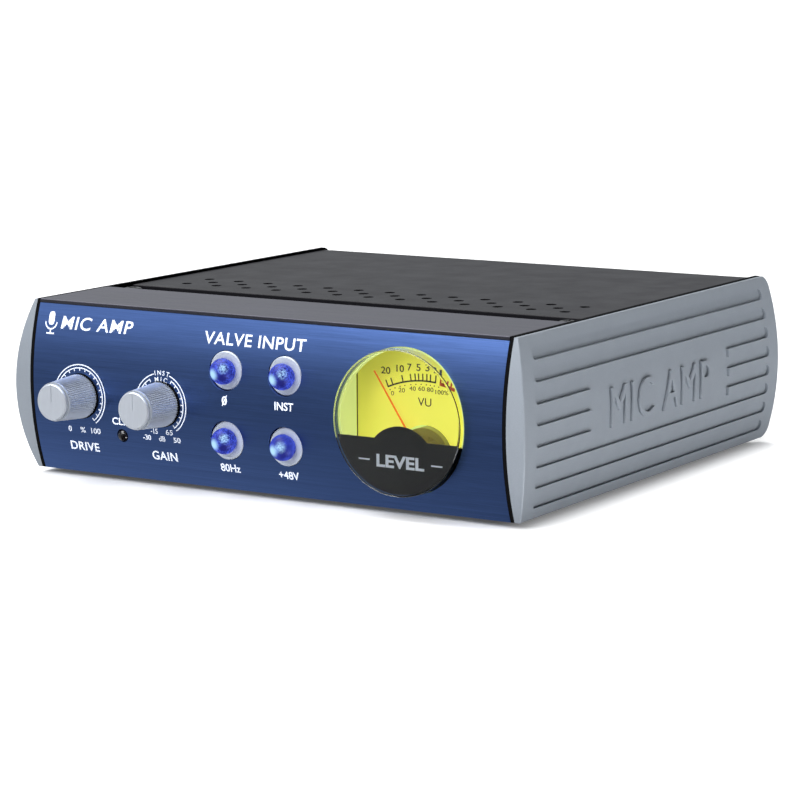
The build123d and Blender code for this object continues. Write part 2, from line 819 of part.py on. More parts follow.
with BuildPart() as main_board:
    with BuildSketch(top_plane(main_board_low)):
        with Locations((0, main_board_middle)):
            Rectangle(*main_board_size)
        with Locations(*board_post_places):
            Circle(screw_clearance, mode=Mode.SUBTRACT)
    extrude(amount=board_thickness)
write(main_board, "main_board")

with BuildPart() as board_standoffs:
    with BuildSketch(top_plane(sheet)):
        with Locations(*board_post_places):
            RegularPolygon(radius=3.2, side_count=6)
            Circle(screw_radius, mode=Mode.SUBTRACT)
    extrude(amount=main_board_low - sheet)
write(board_standoffs, "board_standoffs")

board_screw_planes = [
    Plane(origin=(x, front_y + d, foot_height + main_board_top)) for x, d in board_post_places
]
write(screw_group(board_screw_planes), "board_screws")

# ---------------------------------------------------------------- valve, lying across the board
tube_base_x = -28.0
tube_length = 44.0
tube_glass = 0.9
pin_circle = 5.95
pin_radius = 0.5
pin_angles = [36.0 * step for step in range(9)]


def tube_plane(x):
    """Faces right on the valve's axis."""
    origin = (x, front_y + tube_axis[0], foot_height + tube_axis[1])
    return Plane(origin=origin, x_dir=(0, 1, 0), z_dir=(1, 0, 0))


pin_places = [(pin_circle * cos(radians(a)), pin_circle * sin(radians(a))) for a in pin_angles]
with BuildPart() as vacuum_tube:
    with BuildSketch(tube_plane(tube_base_x)):
        Circle(tube_radius)
    extrude(amount=tube_length)
    fillet(vacuum_tube.edges().group_by(Axis.X)[-1], radius=7.0)
    fillet(vacuum_tube.edges().group_by(Axis.X)[0], radius=1.5)
    with BuildSketch(tube_plane(tube_base_x + tube_length - 1.0)):
        Circle(1.6)
    extrude(amount=3.4, taper=12.0)
    with BuildSketch(tube_plane(tube_base_x + 2.0)):
        Circle(tube_radius - tube_glass)
    extrude(amount=tube_length - 9.5, mode=Mode.SUBTRACT)
    with BuildSketch(tube_plane(tube_base_x)):
        with Locations(*pin_places):
            Circle(pin_radius)
    extrude(amount=2.0, mode=Mode.SUBTRACT)
write(vacuum_tube, "vacuum_tube")

mica_radius = tube_radius - tube_glass - 0.2
mica_thickness = 0.5
plate_front = tube_base_x + 8.0
plate_length = 22.0
with BuildPart() as tube_electrodes:
    for x in (plate_front - mica_thickness, plate_front + plate_length):
        with BuildSketch(tube_plane(x)):
            Circle(mica_radius)
        extrude(amount=mica_thickness)
    with BuildSketch(tube_plane(plate_front)):
        with Locations((-4.3, 0), (4.3, 0)):
            RectangleRounded(7.0, 10.0, 1.5)
            Circle(1.6, mode=Mode.SUBTRACT)
    extrude(amount=plate_length)
    with BuildSketch(tube_plane(tube_base_x - 5.0)):
        with Locations(*pin_places):
            Circle(pin_radius)
    extrude(amount=plate_front - mica_thickness - tube_base_x + 5.0)
write(tube_electrodes, "tube_electrodes")

socket_length = 6.0
socket_radius = 9.4
bracket_sheet = 1.6
bracket_top = 31.0
bracket_width = 22.0
bracket_foot = (8.4, 1.0)
with BuildPart() as tube_socket:
    with BuildSketch(tube_plane(tube_base_x - socket_length)):
        Circle(socket_radius)
        with Locations(*pin_places):
            Circle(pin_radius, mode=Mode.SUBTRACT)
    extrude(amount=socket_length)
    with BuildSketch(front_plane(tube_axis[0] - bracket_width / 2)):
        bracket_x = tube_base_x - socket_length
        with Locations((bracket_x - bracket_sheet / 2, (main_board_top + bracket_top) / 2)):
            Rectangle(bracket_sheet, bracket_top - main_board_top)
        with Locations((bracket_x - 5.0, main_board_top + bracket_foot[1] / 2)):
            Rectangle(*bracket_foot)
    extrude(amount=-bracket_width)
write(tube_socket, "tube_socket")

capacitor_radius = 5.0
capacitor_height = 18.0
capacitor_places = [(30.0, 34.0), (44.0, 36.0), (30.0, 50.0), (44.0, 52.0), (-52.0, 44.0), (-52.0, 58.0)]
with BuildPart() as capacitors:
    with BuildSketch(top_plane(main_board_top)):
        with Locations(*capacitor_places):
            Circle(capacitor_radius)
    extrude(amount=capacitor_height)
    fillet(capacitors.edges().filter_by(GeomType.CIRCLE).group_by(Axis.Z)[-1], radius=0.6)
write(capacitors, "capacitors")

chip_size = (9.8, 6.4, 3.4)
chip_places = [(-30.0, 76.0), (-12.0, 76.0), (6.0, 76.0), (24.0, 76.0), (-30.0, 90.0)]
with BuildPart() as circuit_chips:
    with BuildSketch(top_plane(main_board_top)):
        with Locations(*chip_places):
            Rectangle(*chip_size[:2])
    extrude(amount=chip_size[2])
    chamfer(circuit_chips.edges().group_by(Axis.Z)[-1], length=0.4)
write(circuit_chips, "circuit_chips")

# ---------------------------------------------------------------- three-pole round connectors
xlr_bore = 9.4
xlr_cavity = 14.5
contact_circle = 4.1
contact_angles = (30.0, 150.0, 270.0)
contact_places = [
    (contact_circle * cos(radians(a)), contact_circle * sin(radians(a))) for a in contact_angles
]
xlr_body_front = 104.0
xlr_flange = (26.0, 28.6, 2.2)
xlr_front = rear_outer + xlr_flange[2]


def xlr_shell(x):
    """Flanged body with its screw holes and an open round cavity."""
    place = (x, connector_height)
    with BuildPart() as shell:
        with BuildSketch(rear_plane(xlr_body_front, place)):
            Circle(xlr_body_radius)
        extrude(amount=rear_outer - xlr_body_front)
        with BuildSketch(rear_plane(rear_outer, place)):
            RectangleRounded(xlr_flange[0], xlr_flange[1], 3.0)
        extrude(amount=xlr_flange[2])
        with BuildSketch(rear_plane(rear_outer, place)):
            with Locations(*[(-dx, dz) for dx, dz in xlr_screw_offsets]):
                Circle(screw_clearance)
        extrude(amount=xlr_flange[2], mode=Mode.SUBTRACT)
        with BuildSketch(rear_plane(xlr_front, place)):
            Circle(xlr_bore)
        extrude(amount=-xlr_cavity, mode=Mode.SUBTRACT)
    return shell


latch_half_width = 3.0
latch_low = 10.4
latch_high = 12.4
latch_travel = 1.0
insert_radius = 7.8
insert_recess = 1.5          # from the flange's face back to the insert's
contact_radius = 1.2
with BuildPart() as xlr_input_shell:
    add(xlr_shell(xlr_input_x).part)
    with BuildSketch(rear_plane(rear_outer, (xlr_input_x, connector_height))):
        with Locations((0, (latch_low + latch_high - latch_travel) / 2)):
            Rectangle(2 * latch_half_width + 0.6, latch_high - latch_low + latch_travel + 0.8)
    extrude(amount=xlr_flange[2], mode=Mode.SUBTRACT)
write(xlr_input_shell, "xlr_input_shell")

with BuildPart() as xlr_input_insert:
    with BuildSketch(rear_plane(xlr_front - xlr_cavity, (xlr_input_x, connector_height))):
        Circle(insert_radius)
        with Locations(*contact_places):
            Circle(contact_radius + 0.1, mode=Mode.SUBTRACT)
    extrude(amount=xlr_cavity - insert_recess)
write(xlr_input_insert, "xlr_input_insert")

with BuildPart() as xlr_input_latch:
    with BuildSketch(rear_plane(rear_outer + 0.3, (xlr_input_x, connector_height))):
        with Locations((0, (latch_low + latch_high) / 2)):
            RectangleRounded(2 * latch_half_width, latch_high - latch_low, 0.5)
    extrude(amount=2.6)
write(xlr_input_latch, "xlr_input_latch")

with BuildPart() as xlr_output_shell:
    add(xlr_shell(xlr_output_x).part)
    with BuildSketch(rear_plane(xlr_body_front, (xlr_output_x, connector_height))):
        with Locations(*contact_places):
            Circle(contact_radius)
    extrude(amount=xlr_front - xlr_cavity - xlr_body_front, mode=Mode.SUBTRACT)
write(xlr_output_shell, "xlr_output_shell")

with BuildPart() as xlr_output_pins:
    with BuildSketch(rear_plane(xlr_body_front, (xlr_output_x, connector_height))):
        with Locations(*contact_places):
            Circle(contact_radius)
    extrude(amount=xlr_front - xlr_body_front - 2.5)
    fillet(xlr_output_pins.edges().group_by(Axis.Y)[-1], radius=0.9)
write(xlr_output_pins, "xlr_output_pins")

connector_screw = screw_shape(2.4, 0.9)
connector_screw_planes = [rear_plane(xlr_front, place) for place in xlr_screw_places]
write(screw_group(connector_screw_planes, connector_screw), "connector_screws")

# -------------------------------------------------------- quarter-inch jacks, nuts and the power inlet
jack_front = 98.5
jack_nose = cheek_rear - 0.2
jack_mouth_length = 29.0
with BuildPart() as quarter_inch_jacks:
    with BuildSketch(rear_plane(jack_front)):
        with Locations(*[(-x, jack_height) for x in jack_x]):
            Rectangle(15.6, 16.0)
    extrude(amount=rear_inner - jack_front)
    with BuildSketch(rear_plane(rear_inner)):
        with Locations(*[(-x, jack_height) for x in jack_x]):
            Circle(jack_nose_radius)
    extrude(amount=jack_nose - rear_inner)
    with BuildSketch(rear_plane(jack_nose)):
        with Locations(*[(-x, jack_height) for x in jack_x]):
            Circle(jack_bore)
    extrude(amount=-jack_mouth_length, mode=Mode.SUBTRACT)
write(quarter_inch_jacks, "quarter_inch_jacks")

with BuildPart() as jack_nuts:
    with BuildSketch(rear_plane(rear_outer)):
        with Locations(*[(-x, jack_height) for x in jack_x]):
            RegularPolygon(radius=7.0, side_count=6)
            Circle(jack_nose_radius, mode=Mode.SUBTRACT)
    extrude(amount=2.0)
write(jack_nuts, "jack_nuts")

inlet_front = 113.0
inlet_body = (9.4, 12.8)
inlet_nose = rear_outer + 0.8
inlet_mouth = (3.1, 10.0)        # radius and depth
inlet_pin_radius = 1.05
with BuildPart() as power_inlet:
    with BuildSketch(rear_plane(inlet_front, inlet_place)):
        Rectangle(*inlet_body)
    extrude(amount=rear_inner - inlet_front)
    with BuildSketch(rear_plane(rear_inner, inlet_place)):
        Circle(inlet_nose_radius)
    extrude(amount=inlet_nose - rear_inner)
    with BuildSketch(rear_plane(inlet_nose, inlet_place)):
        Circle(inlet_mouth[0])
        Circle(inlet_pin_radius, mode=Mode.SUBTRACT)
    extrude(amount=-inlet_mouth[1], mode=Mode.SUBTRACT)
write(power_inlet, "power_inlet")

# ---------------------------------------------------------------- power switch: a rocker on two trunnions
rocker_half_width = 4.3
rocker_pivot_depth = 123.2
trunnion_radius = 1.0
rocker_well = (2 * rocker_half_width + 0.6, 16.0)
well_floor = 119.0
switch_front_depth = 112.0
switch_bezel = (15.0, 21.0, 1.5)
with BuildPart() as power_switch_housing:
    with BuildSketch(rear_plane(switch_front_depth, (rocker_x, connector_height))):
        Rectangle(*switch_body)
    extrude(amount=rear_outer - switch_front_depth)
    with BuildSketch(rear_plane(rear_outer, (rocker_x, connector_height))):
        RectangleRounded(switch_bezel[0], switch_bezel[1], 1.0)
    extrude(amount=switch_bezel[2])
    with BuildSketch(rear_plane(rear_outer + switch_bezel[2], (rocker_x, connector_height))):
        Rectangle(*rocker_well)
    extrude(amount=-(rear_outer + switch_bezel[2] - well_floor), mode=Mode.SUBTRACT)
    with BuildSketch(side_plane(rocker_x - 5.8)):
        with Locations((rocker_pivot_depth, connector_height)):
            Circle(trunnion_radius + running_gap)
    extrude(amount=11.6, mode=Mode.SUBTRACT)
write(power_switch_housing, "power_switch_housing")

with BuildPart() as power_switch_rocker:
    with BuildSketch(side_plane(rocker_x - rocker_half_width)):
        with Locations(Location((rocker_pivot_depth, connector_height), rocker_tilt)):
            Polygon(
                (6.0, -6.8), (4.6, 0), (6.0, 6.8), (1.0, 6.8), (-2.5, 3.0), (-2.5, -3.0), (1.0, -6.8),
                align=None,
            )
    extrude(amount=2 * rocker_half_width)
    with BuildSketch(side_plane(rocker_x - 5.6)):
        with Locations((rocker_pivot_depth, connector_height)):
            Circle(trunnion_radius)
    extrude(amount=11.2)
write(power_switch_rocker, "power_switch_rocker")
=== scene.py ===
import json
import math

import bmesh
import bpy
from mathutils import Matrix, Vector


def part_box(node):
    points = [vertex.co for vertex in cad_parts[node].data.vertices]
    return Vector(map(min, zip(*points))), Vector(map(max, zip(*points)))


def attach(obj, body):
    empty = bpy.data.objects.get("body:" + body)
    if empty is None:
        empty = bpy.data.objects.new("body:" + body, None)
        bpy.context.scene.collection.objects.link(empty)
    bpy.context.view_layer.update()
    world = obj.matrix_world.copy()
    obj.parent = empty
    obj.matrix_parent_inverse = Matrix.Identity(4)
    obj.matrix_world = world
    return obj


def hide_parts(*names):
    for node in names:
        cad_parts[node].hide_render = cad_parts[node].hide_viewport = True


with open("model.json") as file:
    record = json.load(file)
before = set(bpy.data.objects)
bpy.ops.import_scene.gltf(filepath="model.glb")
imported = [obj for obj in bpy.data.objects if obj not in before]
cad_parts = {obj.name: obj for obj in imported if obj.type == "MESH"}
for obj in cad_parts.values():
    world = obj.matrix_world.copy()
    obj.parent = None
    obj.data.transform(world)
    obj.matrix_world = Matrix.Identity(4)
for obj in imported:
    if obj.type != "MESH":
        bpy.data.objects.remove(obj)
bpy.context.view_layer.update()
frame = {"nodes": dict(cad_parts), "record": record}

MM = 0.001
WELD = 0.0002 * MM                            # points closer than this are one point


def mm(x, height):
    """A flat point given in mm: how far to the right of the middle, and how far above the underside."""
    return Vector((x, height)) * MM


# ---------------------------------------------------------------- sizes and places
plate_low, plate_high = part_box("right_side_plate")
panel_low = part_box("front_panel")[0]
dial_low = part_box("meter_dial")[0]
rear_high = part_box("rear_panel")[1]
cheek_low, cheek_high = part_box("right_cheek")

UNDERSIDE = panel_low.z
CASE_HEIGHT = plate_high.z - plate_low.z
MID_HEIGHT = CASE_HEIGHT / 2
FRONT_BOW = 3.9 * MM                          # how far the front swells out at mid height
FRONT_Y = panel_low.y + FRONT_BOW             # the front's top and bottom edges
BOW_RADIUS = (MID_HEIGHT**2 + FRONT_BOW**2) / (2 * FRONT_BOW)

CHEEK_CROWN = cheek_high.x - cheek_low.x
CHEEK_TOP_THICKNESS = 1.0 * MM
CHEEK_BOTTOM_THICKNESS = 1.5 * MM
PLAQUE_DEPTH = 0.7 * MM
PLAQUE_MIDDLE = mm(64.5, 21.4)                # of the sunk field on each cheek: back from the front, and up

KNOBS = {"drive": mm(-53.3, 19.9), "gain": mm(-28.3, 19.9)}
BUTTONS = {
    "phase": mm(-9.1, 29.6),
    "instrument": mm(8.05, 29.6),
    "low_cut": mm(-9.1, 12.6),
    "phantom": mm(8.05, 12.6),
}
CRAZING = {"phase": 1.0, "instrument": 1.0, "low_cut": 1.0, "phantom": 0.15}

INK_THICKNESS = 0.04 * MM                     # how far ink stands proud
INK_SINK = 0.03 * MM                          # how deep ink starts inside what it is printed on

# the meter: its centres are places, and its sizes are in mm, with depths measured back from the front's
# top and bottom edges, so that forward is negative
METER_PIVOT = mm(41.9, 12.3)
METER_CENTRE = mm(40.55, 21.35)
LENS_FRONT, LENS_RADIUS, LENS_RIM = -5.75, 17.3, 0.45
WINDOW_THICKNESS, WINDOW_WALL = 0.5, 0.4
MASK_FRONT, MASK_EDGE, MASK_RADIUS, MASK_THICKNESS = -5.0, 17.5, 16.7, 0.3
HUMP_CENTRE, HUMP_RADIUS = mm(41.5, 11.2), 9.5
CASE_LOW, CASE_HIGH = (21.9, 2.4), (61.9, 40.0)
CASE_WALL, CASE_REAR = 1.2, 21.6
PANEL_BACK = 2.15                             # the panel's rear face, which bows as its front does


# ---------------------------------------------------------------- surfaces that markings lie on
def bow_depth(height):
    """How far the swollen front lies behind the front edges at a height: negative at mid height."""
    return BOW_RADIUS - FRONT_BOW - math.sqrt(BOW_RADIUS**2 - (height - MID_HEIGHT) ** 2)


# Each on_ function puts a flat point in its place on a surface, or proud of the surface by some height.
def on_panel(across, up, proud):
    return Vector((across, FRONT_Y + bow_depth(up) - proud, UNDERSIDE + up))


def on_dial(across, up, proud):
    return Vector((across, dial_low.y - proud, UNDERSIDE + up))


def on_mask(across, up, proud):
    return Vector((across, FRONT_Y + MASK_FRONT * MM - proud, UNDERSIDE + up))


def on_rear(across, up, proud):
    return Vector((-across, rear_high.y + proud, UNDERSIDE + up))


def crown_circle():
    """Centre (thickness, height) and radius of the arc through the cheek's bottom, crown and top."""
    top = cheek_high.z - UNDERSIDE
    a = Vector((CHEEK_BOTTOM_THICKNESS, 0))
    b = Vector((CHEEK_CROWN, MID_HEIGHT))
    c = Vector((CHEEK_TOP_THICKNESS, top))
    d = 2 * (a.x * (b.y - c.y) + b.x * (c.y - a.y) + c.x * (a.y - b.y))
    aa, bb, cc = a.dot(a), b.dot(b), c.dot(c)
    x = (aa * (b.y - c.y) + bb * (c.y - a.y) + cc * (a.y - b.y)) / d
    y = (aa * (c.x - b.x) + bb * (a.x - c.x) + cc * (b.x - a.x)) / d
    return Vector((x, y)), (Vector((x, y)) - a).length


CROWN_CENTRE, CROWN_RADIUS = crown_circle()


def behind_edges(spot, depth, share=0):
    """A flat point's place at a depth in mm behind the front's edges, which follows the bow by a share."""
    return Vector((spot.x, FRONT_Y + depth * MM + share * bow_depth(spot.y), UNDERSIDE + spot.y))


def on_cheek(side):
    """The crowned outer face of a cheek, read from outside; side is 1 on the right and -1 on the left."""
    def place(across, up, proud):
        thickness = CROWN_CENTRE.x + math.sqrt(CROWN_RADIUS**2 - (up - CROWN_CENTRE.y) ** 2)
        return Vector((side * (cheek_low.x + thickness + proud), FRONT_Y + side * across, UNDERSIDE + up))

    return place


# ---------------------------------------------------------------- meshes and pieces
def at_angle(centre, radius, angle):
    """The point of a circle at an angle in degrees, clockwise from straight up."""
    turn = math.radians(angle)
    return Vector((centre.x + radius * math.sin(turn), centre.y + radius * math.cos(turn)))


def arc_points(centre, radius, start, end, steps):
    return [at_angle(centre, radius, start + (end - start) * i / steps) for i in range(steps + 1)]


def skin(bm, loops, capped=True):
    """Bands of faces from each loop of points to the next. Returns the faces that cap the two ends."""
    for before, after in zip(loops, loops[1:]):
        for i in range(len(before)):
            j = (i + 1) % len(before)
            bm.faces.new((before[i], before[j], after[j], after[i]))
    return [bm.faces.new(loops[0][::-1]), bm.faces.new(loops[-1])] if capped else []


def add_mesh(name, bm, material):
    """Puts a finished mesh into the scene, with one material."""
    mesh = bpy.data.meshes.new(name)
    bm.to_mesh(mesh)
    bm.free()
    mesh.materials.append(material)
    made = bpy.data.objects.new(name, mesh)
    bpy.context.scene.collection.objects.link(made)
    return made


def piece(name, bm, material, body="root", smooth_to=None):
    """Makes one piece of a mesh. Edges flatter than smooth_to, in degrees, are shaded smooth."""
    made = add_mesh(name, bm, material)
    if smooth_to:
        made.data.shade_smooth()
        made.data.set_sharp_from_angle(angle=math.radians(smooth_to))
    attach(made, body)
    return made


# ---------------------------------------------------------------- markings: drawn flat, laid on a surface
CAP_HEIGHT = 0.682                            # of the built-in typeface, at size 1
ARC_STEP = 4.0                                # degrees
STRIP_HEIGHT = 1.2 * MM                       # a marking bends between strips of this height


class Marking:
    """Thin solid ink or relief, drawn in flat (across, up) coordinates with 0 to 1 as its depth."""

    def __init__(self):
        self.mesh = bmesh.new()

    def ribbon(self, centres, widths):
        """A band along flat points, each with its own width."""
        rows = []
        last = len(centres) - 1
        for i, centre in enumerate(centres):
            along = (centres[min(i + 1, last)] - centres[max(i - 1, 0)]).normalized()
            aside = Vector((-along.y, along.x)) * widths[i] / 2
            left, right = centre + aside, centre - aside
            section = ((left, 0), (left, 1), (right, 1), (right, 0))
            rows.append([self.mesh.verts.new((p.x, p.y, z)) for p, z in section])
        skin(self.mesh, rows)

    def line(self, start, end, width, pieces=1):
        points = [start.lerp(end, i / pieces) for i in range(pieces + 1)]
        self.ribbon(points, [width] * len(points))

    def arc(self, centre, radius, width, start, end):
        """An arc between two angles in degrees, clockwise from straight up."""
        points = arc_points(centre, radius, start, end, max(2, int(abs(end - start) / ARC_STEP)))
        self.ribbon(points, [width] * len(points))

    def tick(self, centre, angle, inner, outer, width):
        self.line(at_angle(centre, inner, angle), at_angle(centre, outer, angle), width)

    def dot(self, centre, radius, sides=14):
        rings = []
        for z in (0, 1):
            ring = arc_points(centre, radius, 0, 360, sides)[:-1]
            rings.append([self.mesh.verts.new((p.x, p.y, z)) for p in ring])
        skin(self.mesh, rings)

    def letters(self, text, middle, height, width=None, weight=0.0, lean=0.0, turn=0.0, spacing=1.0):
        """Capitals centred on a point, stretched to a width, slanted by lean and turned, both in degrees."""
        curve = bpy.data.curves.new("lettering", "FONT")
        curve.body = text
        curve.offset = weight
        curve.extrude = 0.5
        curve.resolution_u = 4
        curve.space_character = spacing
        holder = bpy.data.objects.new("lettering", curve)
        bpy.context.scene.collection.objects.link(holder)
        graph = bpy.context.evaluated_depsgraph_get()
        flat = bpy.data.meshes.new_from_object(holder.evaluated_get(graph))
        bpy.data.objects.remove(holder)
        bpy.data.curves.remove(curve)
        xs = [v.co.x for v in flat.vertices]
        up_scale = height / (CAP_HEIGHT + 2 * weight)
        across_scale = width / (max(xs) - min(xs)) if width else up_scale
        slant = math.tan(math.radians(lean))
        rotation = Matrix.Rotation(math.radians(-turn), 2)
        for v in flat.vertices:
            x = (v.co.x - (max(xs) + min(xs)) / 2) * across_scale
            y = (v.co.y - CAP_HEIGHT / 2) * up_scale
            spot = rotation @ Vector((x + y * slant, y)) + middle
            v.co = (spot.x, spot.y, v.co.z + 0.5)
        self.mesh.from_mesh(flat)
        bpy.data.meshes.remove(flat)

    def lay(self, name, surface, material, thickness=INK_THICKNESS, sink=INK_SINK):
        """Cuts the marking into strips that can bend, and lays it on a surface as one piece."""
        bm = self.mesh
        bmesh.ops.remove_doubles(bm, verts=bm.verts, dist=WELD)
        low = min(v.co.y for v in bm.verts)
        high = max(v.co.y for v in bm.verts)
        bmesh.ops.triangulate(bm, faces=bm.faces[:])
        up = (0, 1, 0)
        strips = max(1, round((high - low) / STRIP_HEIGHT))
        for i in range(1, strips):
            level = (0, low + (high - low) * i / strips, 0)
            everything = bm.verts[:] + bm.edges[:] + bm.faces[:]
            bmesh.ops.bisect_plane(bm, geom=everything, plane_co=level, plane_no=up, dist=WELD / 20)
        for v in bm.verts:
            v.co = surface(v.co.x, v.co.y, v.co.z * (thickness + sink) - sink)
        bmesh.ops.recalc_face_normals(bm, faces=bm.faces)
        return piece(name, bm, material)


# ---------------------------------------------------------------- node materials
COLOUR_A, COLOUR_B, COLOUR_RESULT = 6, 7, 2   # a Mix node's colour sockets
FLAT_EDGE, SHARP_EDGE = 0.995, 0.80           # cosine between a face and how it would face if rounded off


class Finish:
    """A Principled material, with short ways to add procedural detail to it.

    Patterns and points are placed in metres from the object's origin. The other values set sockets of the
    shader, with an underscore for each space in a socket's name.
    """

    def __init__(self, name, colour, **values):
        self.material = bpy.data.materials.new(name)
        self.material.use_nodes = True
        self.tree = self.material.node_tree
        self.shader = self.tree.nodes["Principled BSDF"]
        self.shader.inputs["Base Color"].default_value = (*colour, 1)
        for socket, value in values.items():
            self.shader.inputs[socket.replace("_", " ")].default_value = value
        self.place = self.node("ShaderNodeTexCoord").outputs["Object"]

    def node(self, kind, inputs=(), **settings):
        made = self.tree.nodes.new(kind)
        for setting, value in settings.items():
            setattr(made, setting, value)
        for socket, value in dict(inputs).items():
            self.feed(made.inputs[socket], value)
        return made

    def feed(self, socket, value):
        if isinstance(value, bpy.types.NodeSocket):
            self.tree.links.new(value, socket)
        else:
            socket.default_value = value

    def math(self, operation, a, b=0.0, clamp=False):
        return self.node("ShaderNodeMath", {0: a, 1: b}, operation=operation, use_clamp=clamp).outputs[0]

    def noise(self, scale, stretch=(1, 1, 1), detail=3.0, rough=0.55, offset=(0, 0, 0)):
        """A pattern that lies mostly between 0.3 and 0.7."""
        spot = self.node("ShaderNodeMapping", {"Vector": self.place, "Scale": stretch, "Location": offset})
        made = self.node(
            "ShaderNodeTexNoise",
            {"Vector": spot.outputs[0], "Scale": scale, "Detail": detail, "Roughness": rough},
        )
        return made.outputs[0]

    def spread(self, value, low, high, from_low=0.3, from_high=0.7, smooth=False):
        """Maps one range of values to another, without going past its ends."""
        made = self.node(
            "ShaderNodeMapRange",
            {"Value": value, "From Min": from_low, "From Max": from_high, "To Min": low, "To Max": high},
            interpolation_type="SMOOTHSTEP" if smooth else "LINEAR",
        )
        return made.outputs[0]

    def near(self, centre, core, edge):
        """1 within core of a point, falling smoothly to 0 at edge."""
        gap = self.node("ShaderNodeVectorMath", {0: self.place, 1: centre}, operation="DISTANCE")
        return self.spread(gap.outputs["Value"], 1.0, 0.0, core, edge, smooth=True)

    def mix(self, factor, a, b):
        made = self.node("ShaderNodeMix", data_type="RGBA")
        self.feed(made.inputs["Factor"], factor)
        for socket, value in ((COLOUR_A, a), (COLOUR_B, b)):
            self.feed(made.inputs[socket], value if isinstance(value, bpy.types.NodeSocket) else (*value, 1))
        return made.outputs[COLOUR_RESULT]

    def colour(self, value):
        """Sets or links the base colour."""
        self.feed(self.shader.inputs["Base Color"], value)

    def vary(self, value, low, high):
        """Lets a pattern drive the roughness between two values."""
        self.feed(self.shader.inputs["Roughness"], self.spread(value, low, high))

    def bump(self, value, height, strength):
        """Adds a bump on top of those already there."""
        made = self.node("ShaderNodeBump", {"Height": value, "Distance": height, "Strength": strength})
        old = self.shader.inputs["Normal"]
        if old.is_linked:
            self.feed(made.inputs["Normal"], old.links[0].from_socket)
        self.feed(old, made.outputs[0])

    def rub(self, pattern, worn, amount, width):
        """Lighter, rubbed paint or metal along the convex edges, where a pattern lets it."""
        bevel = self.node("ShaderNodeBevel", {"Radius": width}, samples=4)
        normal = self.node("ShaderNodeNewGeometry").outputs["Normal"]
        turn = self.node("ShaderNodeVectorMath", {0: bevel.outputs[0], 1: normal}, operation="DOT_PRODUCT")
        edge = self.spread(turn.outputs["Value"], 1.0, 0.0, SHARP_EDGE, FLAT_EDGE)
        mask = self.math("MULTIPLY", self.math("MULTIPLY", edge, pattern, clamp=True), amount, clamp=True)
        base = self.shader.inputs["Base Color"]
        now = base.links[0].from_socket if base.is_linked else tuple(base.default_value)[:3]
        self.colour(self.mix(mask, now, worn))


# how far each grain is compressed along X, Y and Z: its streaks run along the axis with the small number
ALONG_X = (90, 400, 5200)
ALONG_Z = (6000, 400, 260)
ALONG_AXIS_FINE = (2600, 300, 2600)
ALONG_AXIS = (1500, 300, 1500)
EVEN_GRAIN = (900, 900, 900)
WOUND = (300, 6000, 300)


def shade(colour, factor):
    """A colour made lighter or darker."""
    return tuple(min(1.0, c * factor) for c in colour)


def brushed(name, colour, grain, contrast=0.14, **values):
    """Metal or paint with fine streaks that run the way of its grain."""
    made = Finish(name, colour, **values)
    fine = made.noise(1.0, stretch=grain, detail=4.0, rough=0.7)
    broad = made.noise(0.23, stretch=grain, detail=2.0, offset=(3.1, 1.7, 5.3))
    cloud = made.noise(45.0, detail=2.0)
    both = made.math("ADD", made.math("MULTIPLY", fine, 0.65), made.math("MULTIPLY", broad, 0.35))
    streaks = made.spread(both, 0, 1)
    tone = made.mix(streaks, shade(colour, 1 - contrast), shade(colour, 1 + contrast))
    made.colour(made.mix(made.spread(cloud, 0.0, 0.35), tone, shade(colour, 0.9)))
    rough = values["Roughness"]
    made.vary(fine, rough - 0.05, rough + 0.06)
    made.bump(fine, 0.006 * MM, 0.7)
    return made


def moulded(name, colour, grain=5200.0, speckle=0.05, depth=0.012, **values):
    """Moulded or painted plastic, with a fine grain and a faint mottle."""
    made = Finish(name, colour, **values)
    fine = made.noise(grain, detail=3.0)
    mottle = made.noise(110.0, detail=3.0, offset=(7.0, 2.0, 4.0))
    tone = made.mix(made.spread(fine, 0, 1), shade(colour, 1 - speckle), shade(colour, 1 + speckle))
    made.colour(made.mix(made.spread(mottle, 0.0, 0.5), tone, shade(colour, 0.93)))
    rough = values["Roughness"]
    made.vary(mottle, rough - 0.05, rough + 0.05)
    made.bump(fine, depth * MM, 0.6)
    return made


def powder_coat(name, colour, **values):
    """Coarse paint, rubbed lighter in places along its edges."""
    made = moulded(name, colour, grain=2600.0, speckle=0.22, depth=0.03, **values)
    scuff = made.noise(600.0, stretch=(1, 0.25, 1), detail=4.0, offset=(1.0, 9.0, 2.0))
    made.rub(made.spread(scuff, 0.0, 1.0, 0.45, 0.65), shade(colour, 3.5), amount=0.35, width=0.3 * MM)
    return made


BUTTON_DEEP, BUTTON_GLOW, BUTTON_HIGHLIGHT = (0.004, 0.005, 0.08), (0.065, 0.11, 0.72), (0.50, 0.84, 1.0)
RIM_SPOT = Vector((-1.05, 0.2, -0.5)) * MM    # from a cap's front middle to its painted rim highlight
EYE_SPOT = Vector((0.8, 0.7, 0.4)) * MM       # the same to the lamp's painted glow
EYE_SHIFT = Vector((0.9, 0.0, 0.8)) * MM      # how much further that lies in a fully crazed cap
# the same to the middle of the painted shade on the cap's lower right side
SHADED_SPOT = Vector((1.5, 0.65, -1.2)) * MM
SPOT_EDGE = 1.9 * MM


